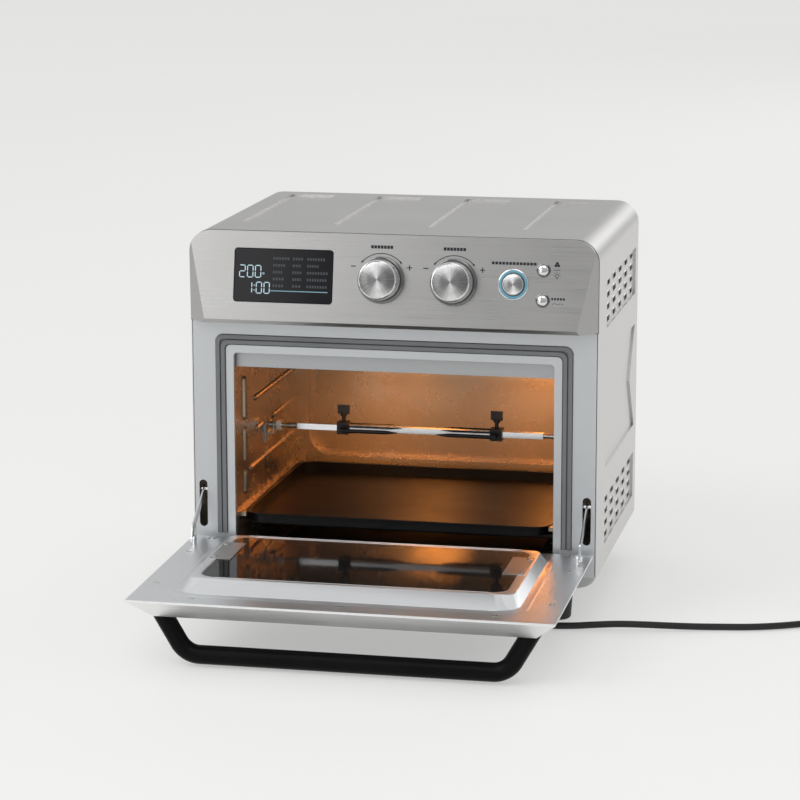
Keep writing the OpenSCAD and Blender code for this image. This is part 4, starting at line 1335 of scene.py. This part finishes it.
@dataclass
class ControlPanel(Assembly):
    """Display, knobs, buttons and the marks printed round them.

    All sizes are in millimetres, across and up the sloped panel.

    Attributes:
        row: height of the knobs' and the power button's axis.
        knobs: place across of each knob, by body.
        power_x: place across of the power button.
        small: places of the small buttons, by body.
        arc: radius of the arcs over the knobs.
        arc_half: half the angle of an arc, in degrees.
        sign: places of the signs beside a knob, outwards and up from its axis.
        icon_x: how far the icons' middle lies from the small buttons.
        print_depth: how thick the ink is.
        display_x: place across of the display's middle.
        display: width and height of the display.
    """

    row: float = 46.0
    knobs: tuple[tuple[str, float], ...] = (("function_knob", -8.0), ("temp_knob", 61.7))
    power_x: float = 118.4
    small: tuple[tuple[str, float, float], ...] = (
        ("lamp_button", 146.5, 60.1),
        ("shake_button", 146.5, 31.9),
    )
    arc: float = 25.2
    arc_half: float = 46.0
    sign: tuple[float, float] = (27.0, 12.5)
    icon_x: float = 12.6
    print_depth: float = 0.05
    display_x: float = -102.9
    display: tuple[float, float] = (96.2, 50.8)

    @staticmethod
    def spot(across: float, up: float, out: float = 0.0) -> Matrix:
        """The matrix that takes a mark's own frame to a place on the panel."""
        return PANEL @ Matrix.Translation((across * MM, -out * MM, up * MM))

    def make_knobs(self) -> None:
        """Both rotary knobs: one is turned, the other is its copy."""
        ring_line = [(22.2, 0.6), (22.2, 2.3), (21.9, 2.8), (21.2, 3.1), (20.5, 2.9), (20.3, 2.0)]
        side_line = [(19.7, 1.6), (19.7, 3.2), (19.5, 3.9), (19.0, 15.6), (18.7, 17.2), (18.2, 18.3),
                     (17.6, 18.9), (17.1, 19.0), (16.8, 18.7), (16.8, 18.2)]  # fmt: skip
        cap_line = [(16.7, 17.8), (16.7, 18.6), (16.4, 18.75), (8.0, 18.8), (1.0, 18.82)]
        first_x = self.knobs[0][1]
        start = self.spot(first_x, self.row) @ OUTWARDS
        ring = Workbench.turned("knob_ring", ring_line, start, 96)
        side = Workbench.turned("knob_side", side_line, start, 96)
        cap = Workbench.turned("knob_cap", cap_line, start, 96)
        for body, across in self.knobs:
            step = Matrix.Translation(((across - first_x) * MM, 0, 0))
            self.add(Workbench.copy(ring, f"{body}_ring", step), "dark_chrome", body, "knob")
            self.add(Workbench.copy(side, f"{body}_side", step), "chrome", body, "knob", [body])
            self.add(Workbench.copy(cap, f"{body}_cap", step), f"{body}_spun", body, "knob")
        for model in (ring, side, cap):
            bpy.data.objects.remove(model)

    def make_buttons(self) -> None:
        """The power button in its lit ring, and the two small buttons."""
        centre = self.spot(self.power_x, self.row) @ OUTWARDS
        ring_line = [(11.2, -2.8), (11.2, 0.5), (11.5, 0.95), (13.2, 0.95), (13.9, 0.6), (13.9, -2.8)]
        ring = Workbench.turned("power_glow", ring_line, centre, 72, hollow=True)
        self.add(ring, "ring_light", "oven", "ring", ["power_ring"])
        rim = Workbench.turned(
            "power_bevel", [(13.4, 0.5), (13.4, 1.0), (13.7, 1.25), (14.3, 1.0), (14.6, 0.05), (14.6, -0.3)],
            centre, 72, hollow=True,
        )  # fmt: skip
        self.add(rim, "bright_steel", "oven", "ring")
        well = Workbench.turned(
            "power_well", [(10.35, -2.6), (10.35, 0.1), (11.25, 0.1), (11.25, -2.6)], centre, 72, hollow=True
        )
        self.add(well, "dark_chrome", "oven", "ring")
        self.refine("power_button", "chrome", "power_button", "knob", 0.0006)
        cap = Workbench.turned(
            "power_cap", [(9.2, 2.5), (9.2, 2.9), (8.9, 3.05), (4.0, 3.1), (0.5, 3.12)], centre, 72
        )
        self.add(cap, "power_spun", "power_button", "knob")
        collar_line = [(5.3, -0.6), (5.3, 0.5), (5.7, 0.9), (6.5, 0.6), (6.8, 0.05), (6.8, -0.3)]
        dome_line = [(4.8, 1.9), (4.75, 2.35), (4.2, 2.85), (3.0, 3.2), (1.6, 3.35), (0.3, 3.4)]
        for body, across, up in self.small:
            spot = self.spot(across, up) @ OUTWARDS
            self.refine(body, "chrome", body, "knob", 0.0004)
            dome = Workbench.turned(f"{body}_dome", dome_line, spot, 48)
            self.add(dome, "chrome", body, "knob")
            collar = Workbench.turned(f"{body}_collar", collar_line, spot, 48, hollow=True)
            self.add(collar, "dark_chrome", "oven", "ring")

    def make_marks(self) -> None:
        """Arcs, signs, captions and icons, printed in dark grey."""
        ink: list[bpy.types.Object] = []
        depth = self.print_depth
        sign_x, sign_up = self.sign

        def put(piece: bpy.types.Object, across: float, up: float, turn: float = 0.0) -> None:
            """Carries a mark to its place and keeps it."""
            ink.append(Workbench.carry(piece, self.spot(across, up) @ Matrix.Rotation(turn, 4, "Y")))

        def block(across: float, up: float, length: float, width: float, turn: float = 0.0) -> None:
            """Prints one small bar."""
            put(Workbench.bar("mark", length, width, depth), across, up, turn)

        for _, across in self.knobs:
            put(Workbench.band("arc", self.arc, 0.8, depth, 90, self.arc_half), across, self.row)
            for side in (-1, 1):
                lean = math.radians(side * (self.arc_half + 1))
                place = (across + self.arc * math.sin(lean), self.row + self.arc * math.cos(lean))
                put(Workbench.bar("arrow", 0.1, 1.9, depth, 1.9), *place, lean)
                block(across + side * sign_x, self.row + sign_up, 5.0, 0.95)
            block(across + sign_x, self.row + sign_up, 0.95, 5.0)
            for step in range(7):
                block(across - 9.3 + 3.1 * step, self.row + 31.2, 2.6, 3.0)
        for step in range(13):
            block(self.power_x - 19.8 + 3.3 * step, self.row + 19.6, 2.6, 2.6)
        _, small_x, upper = self.small[0]
        lower = self.small[1][2]
        icon = small_x + self.icon_x
        for petal in range(3):
            angle = math.radians(90 + 120 * petal)
            leaf = Workbench.turned("leaf", [(1.35, 0.0), (1.35, depth)], OUTWARDS, 20)
            put(leaf, icon + 1.5 * math.cos(angle), upper + 5.4 + 1.5 * math.sin(angle))
        block(icon, upper + 0.6, 6.0, 0.5)
        bulb_line = [(1.3, 0.0), (1.3, depth), (1.8, depth), (1.8, 0.0)]
        bulb = Workbench.turned("bulb", bulb_line, OUTWARDS, 28, True)
        put(bulb, icon, upper - 4.8)
        block(icon, upper - 7.4, 1.6, 0.6)
        for ray in range(5):
            angle = math.radians(45 * ray)
            place = (icon + 3.1 * math.cos(angle), upper - 4.8 + 3.1 * math.sin(angle))
            block(*place, 1.3, 0.4, -angle)
        for step in range(5):
            block(small_x + 9.0 + 2.7 * step, lower + 1.8, 1.9, 2.2)
        for step in range(4):
            block(small_x + 9.8 + 2.9 * step, lower - 2.8, 2.2, 0.5, math.radians(25 if step % 2 else -25))
        self.add(Workbench.join("panel_marks", ink), "mark_ink", "oven", "bezel")

    def make_display(self) -> None:
        """The glass of the display with its digits and its menu."""
        wide, high = self.display
        left, top = self.display_x - wide / 2, self.row + 1 + high / 2
        self.refine("display_window", "display_black", "oven", "display", 0.0006)
        lit: list[bpy.types.Object] = []
        depth = -0.24  # how far the marks stand out of the panel: they lie behind its face

        def strokes(across: float, down: float, tall: float, broad: float, which: str) -> None:
            """Lights one seven-bar digit.

            Args:
                across: its left edge from the display's left.
                down: its top from the display's top.
                tall: its height.
                broad: its width.
                which: the bars that are lit, from a to g.
            """
            half = tall / 2
            spots = {
                "a": (broad / 2, 0, 0), "b": (broad, half / 2, 90), "c": (broad, half * 1.5, 90),
                "d": (broad / 2, tall, 0), "e": (0, half * 1.5, 90), "f": (0, half / 2, 90),
                "g": (broad / 2, half, 0),
            }  # fmt: skip
            for key in which:
                x, y, turn = spots[key]
                span = (broad if turn == 0 else half) - 1.5
                piece = Workbench.bar("stroke", span, 0.85, 0.05, 0.4)
                place = self.spot(left + across + x, top - down - y, depth)
                lit.append(Workbench.carry(piece, place @ Matrix.Rotation(math.radians(turn), 4, "Y")))

        zero, two, one = "abcdef", "abged", "bc"
        for across, which in ((5.2, two), (12.9, zero), (20.6, zero)):
            strokes(across, 16.2, 11.2, 5.4, which)
        strokes(12.4, 32.0, 10.4, 5.2, one)
        for across in (22.0, 29.6):
            strokes(across, 32.0, 10.4, 5.2, zero)
        for down in (35.0, 39.6):
            dot = Workbench.turned("dot", [(0.55, 0.0), (0.55, 0.05)], OUTWARDS, 16)
            lit.append(Workbench.carry(dot, self.spot(left + 20.0, top - down, depth)))
        degree = Workbench.turned(
            "degree", [(0.55, 0.0), (0.55, 0.05), (0.95, 0.05), (0.95, 0.0)], OUTWARDS, 20, True
        )
        lit.append(Workbench.carry(degree, self.spot(left + 28.6, top - 23.6, depth)))
        self.add(Workbench.join("display_digits", lit), "digit_light", "oven", "display")
        rule = Workbench.bar("display_rule", 55.6, 0.7, 0.05)
        Workbench.carry(rule, self.spot(left + 63.8, top - 39.8, depth))
        self.add(rule, "rule_light", "oven", "display")
        dim: list[bpy.types.Object] = []
        widths = (
            (16.5, 10.5, 18.0), (12.5, 8.5, 12.0), (10.0, 9.5, 21.0), (11.5, 9.5, 20.0), (11.0, 9.0, 20.5),
        )  # fmt: skip
        for line, row in enumerate(widths):
            for start, wide_mark in zip((37.4, 56.5, 70.6), row):
                letters = max(3, round(wide_mark / 2.6))
                pitch = wide_mark / letters
                for k in range(letters):
                    piece = Workbench.bar("menu", pitch * 0.62, 2.5, 0.05)
                    place = self.spot(left + start + (k + 0.5) * pitch, top - 9.0 - 6.5 * line, depth)
                    dim.append(Workbench.carry(piece, place))
        self.add(Workbench.join("display_menu", dim), "menu_light", "oven", "display")

    def build(self) -> None:
        """Makes the panel's pieces."""
        self.make_knobs()
        self.make_buttons()
        self.make_marks()
        self.make_display()


@dataclass
class Door(Assembly):
    """The drop-down door with its glass, clips, screws and handle.

    All sizes are in millimetres in the door's own frame: the hinge axis on X, the tip towards
    -Y and the inner side up.

    Attributes:
        face: height of the inner panel's face.
        rise: height of the window frame's top.
        screws: places of the door's screws.
        clip_x: place across of the clips' screws.
        clip_y: places along of the clips' screws.
        pressing: half width, front, back, corner and height of each line of the pressed window frame.
    """

    face: float = 10.4
    rise: float = 19.9
    screws: tuple[tuple[float, float], ...] = (
        (183.9, -55), (183.9, -163), (-183.9, -55), (-183.9, -163),
        (139, -204.6), (0, -204.6), (-139, -204.6),
    )  # fmt: skip
    clip_x: float = 145.5
    clip_y: tuple[float, float] = (-101.0, -58.0)
    pressing: tuple[tuple[float, float, float, float, float], ...] = (
        (166.0, -199.4, -5.6, 20.0, 10.42),
        (164.6, -198.0, -7.0, 0.0, 10.7),
        (163.2, -196.6, -8.4, 0.0, 10.7),
        (161.2, -194.6, -10.0, 0.0, 10.5),
        (157.2, -190.6, -12.4, 0.0, 10.5),
        (151.0, -171.4, -22.7, 0.0, 20.05),
        (143.0, -166.5, -27.6, 0.0, 20.05),
        (142.7, -166.2, -27.9, 0.0, 19.6),
    )

    def make_screw(self, name: str, radius: float, dome: float) -> bpy.types.Object:
        """A flat round screw head with a cross recess, at the origin and upright.

        Args:
            name: the object's name.
            radius: the head's radius.
            dome: the head's height.

        Returns:
            The head.
        """
        outline = [(radius, -0.3), (radius, dome * 0.45), (radius * 0.82, dome * 0.85), (radius * 0.4, dome)]
        head = Workbench.turned(name, outline, Matrix.Identity(4), 32)
        reach, half, deep = radius * 0.58, radius * 0.13, -0.12
        for turn in (0, 90):
            cutter = Workbench.block(
                "cutter", (-reach * MM, -half * MM, deep * MM), (reach * MM, half * MM, 2 * dome * MM)
            )
            Workbench.carry(cutter, Matrix.Rotation(math.radians(turn), 4, "Z"))
            Workbench.modify(head, "BOOLEAN", operation="DIFFERENCE", object=cutter)
            bpy.data.objects.remove(cutter)
        return Workbench.smooth(head, 30)

    def make_screws(self) -> None:
        """Screw heads of the door and of the clips, copied from two models."""

        def plant(name: str, model: bpy.types.Object, spots: Iterable[Point]) -> bpy.types.Object:
            """Copies a head to its places, joins the copies and removes the model.

            Args:
                name: the joined heads' name.
                model: the head to copy.
                spots: its places in the door's frame, in millimetres.

            Returns:
                The joined heads.
            """
            heads = [Workbench.copy(model, "screw", DOOR @ Matrix.Translation(Vector(p) * MM)) for p in spots]
            bpy.data.objects.remove(model)
            return Workbench.join(name, heads)

        flat = self.make_screw("screw_model", 3.0, 0.35)
        heads = plant("door_screw_heads", flat, [(x, y, self.face) for x, y in self.screws])
        self.add(heads, "chrome", "door", "clips", ["door_screws"])
        small = self.make_screw("clip_screw_model", 2.8, 0.7)
        on_clips = self.rise + 0.8
        spots = [(side * self.clip_x, y, on_clips) for side in (-1, 1) for y in self.clip_y]
        heads = plant("clip_screw_heads", small, spots)
        self.add(heads, "bright_steel", "door", "clips")

    def make_pressing(self) -> None:
        """The pressed window frame with its soft corners and the line stamped round it."""
        half, low, high, corner, height = self.pressing[0]
        Workbench.clear()
        bpy.ops.mesh.primitive_plane_add(size=1, location=(0, (low + high) / 2 * MM, height * MM))
        piece = Workbench.named("door_pressing")
        piece.scale = (2 * half * MM, (high - low) * MM, 1)
        Workbench.settle(piece)
        bpy.ops.object.mode_set(mode="EDIT")
        bpy.ops.mesh.select_all(action="SELECT")
        bpy.ops.mesh.bevel(offset=corner * MM, segments=10, affect="VERTICES")
        bpy.ops.mesh.select_mode(type="FACE")
        bpy.ops.mesh.select_all(action="SELECT")
        for wide, front, back, _, rise in self.pressing[1:]:
            middle = ((front + back) - (low + high)) / 2 * MM
            move = (0, middle, (rise - height) * MM)
            bpy.ops.mesh.extrude_region_move(TRANSFORM_OT_translate={"value": move})
            bpy.ops.transform.resize(value=(wide / half, (back - front) / (high - low), 1))
            half, low, high, height = wide, front, back, rise
        Workbench.done()
        Workbench.pick_faces(piece, lambda centre, normal: abs(normal.z) > 0.99 and abs(centre.x) < 0.001)
        bpy.ops.mesh.delete(type="FACE")
        Workbench.done()
        Workbench.modify(
            piece, "BEVEL", width=0.0008, segments=3, limit_method="ANGLE", angle_limit=math.radians(12)
        )
        Workbench.modify(piece, "SOLIDIFY", thickness=0.0003, offset=-1)
        Workbench.smooth(piece, 50)
        Workbench.carry(piece, DOOR)
        self.add(piece, "door_steel", "door", "door_panel")

    def build(self) -> None:
        """Makes the door's pieces."""
        self.refine("door_inner_panel", "door_steel", "door", "door_panel", 0.0010, 25)
        self.refine("door_skin", "skin_steel", "door", "door_skin", 0.0008, 25)
        self.refine("inner_glass", "smoked_glass", "door", "pane", 0.0004)
        self.refine("outer_glass", "outer_smoked_glass", "door", "pane", 0.0004)
        self.refine("glass_clips", "clip_steel", "door", "clips", 0.0002)
        self.refine("door_handle", "handle_paint", "door", "handle", 0.0)
        self.make_screws()
        self.make_pressing()


def make_finishes() -> dict[str, bpy.types.Material]:
    """Makes every finish once.

    Returns:
        The materials by name.
    """

    def spun(name: str, across: float, out: float, level: float) -> SpunMetal:
        """Spun metal round an axis that stands on the control panel."""
        centre = tuple(ControlPanel.spot(across, ControlPanel.row, out).translation)
        return SpunMetal(name, centre, -PANEL_LEAN, level)

    made = [
        BrushedSteel("casing_steel", 0.64, Grain.DEEP, 0.38, 0.01, 0.2),
        BrushedSteel("back_steel", 0.55, Grain.UPRIGHT, 0.46),
        BrushedSteel("base_steel", 0.42, Grain.NONE, 0.5),
        BrushedSteel("bezel_steel", 0.42, Grain.ACROSS, 0.30, 0.01, 0.45),
        BrushedSteel("plain_steel", 0.55, Grain.NONE, 0.4),
        BrushedSteel("door_steel", 0.88, Grain.ACROSS, 0.36, -0.015, 0.2),
        BrushedSteel("skin_steel", 0.9, Grain.ACROSS, 0.38, 0.0, 0.35),
        BrushedSteel("frame_steel", 0.56, Grain.NONE, 0.42, -0.03, 0.05, 0.7),
        BrushedSteel("bright_steel", 0.75, Grain.NONE, 0.16, 0.0, 0.03),
        BrushedSteel("chrome", 0.72, Grain.NONE, 0.10, 0.0, 0.02),
        BrushedSteel("clip_steel", 0.5, Grain.ACROSS, 0.42, 0.01),
        BrushedSteel("dark_chrome", 0.22, Grain.NONE, 0.14, 0.0, 0.02),
        BrushedSteel("shield_steel", 0.43, Grain.ACROSS, 0.45, -0.02),
        BrushedSteel("crumb_steel", 0.16, Grain.ACROSS, 0.45),
        BrushedSteel("heater_steel", 0.10, Grain.NONE, 0.5, 0.03),
        CavitySteel("cavity_steel", 0.31),
        Coat("gasket_rubber", (0.16, 0.165, 0.17, 1), 0.55),
        Coat("cord_rubber", (0.012, 0.012, 0.012, 1), 0.45, shine=0.35),
        Coat("foot_rubber", (0.014, 0.014, 0.014, 1), 0.6),
        Coat("tray_enamel", (0.003, 0.003, 0.0035, 1), 0.36, shine=0.14),
        Coat("handle_paint", (0.0012, 0.0014, 0.0016, 1), 0.30, shine=0.08),
        Coat("fork_black", (0.02, 0.02, 0.022, 1), 0.4, 0.6),
        Coat("motor_paint", (0.10, 0.10, 0.11, 1), 0.5),
        Coat("board_green", (0.02, 0.10, 0.04, 1), 0.5),
        # painted shade: the black of the strip that stands for the shadowed gap round the bezel
        Coat("seam_black", (0.01, 0.01, 0.01, 1), 0.7, shine=0.1),
        Coat("mark_ink", (0.02, 0.021, 0.027, 1), 0.5, shine=0.2),
        Coat("display_black", (0.004, 0.004, 0.006, 1), 0.10, relief=0.0, uneven=0.05, shine=0.22),
        Pane("smoked_glass", (0.10, 0.095, 0.09, 1.0), 0.9),
        Pane("outer_smoked_glass", (0.03, 0.03, 0.035, 1.0), 0.4),
        Glow("ring_light", (0.10, 0.36, 0.50, 1), 0.6, (0.06, 0.12, 0.15, 1)),
        Glow("digit_light", (0.62, 0.86, 0.95, 1), 0.9),
        Glow("rule_light", (0.30, 0.55, 0.66, 1), 0.8),
        Glow("menu_light", (0.032, 0.048, 0.062, 1), 0.6),
        Glow("lamp_light", (1.0, 0.55, 0.18, 1), 0.8, (0.9, 0.6, 0.3, 1)),
        *(spun(f"{body}_spun", across, 18.8, 0.58) for body, across in ControlPanel.knobs),
        spun("power_spun", ControlPanel.power_x, 3.0, 0.8),
    ]
    return {finish.name: finish.material() for finish in made}


def main() -> None:
    """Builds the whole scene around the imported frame."""
    logging.basicConfig(level=logging.INFO, format="%(name)s: %(message)s")
    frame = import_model()
    nodes = frame["nodes"]
    Studio().build()
    finishes = make_finishes()
    SupplyCord(nodes, finishes).build()
    for part in (Casing, Front, Cavity, ControlPanel, Door):
        part(nodes, finishes).build()


if __name__ == "__main__":
    main()
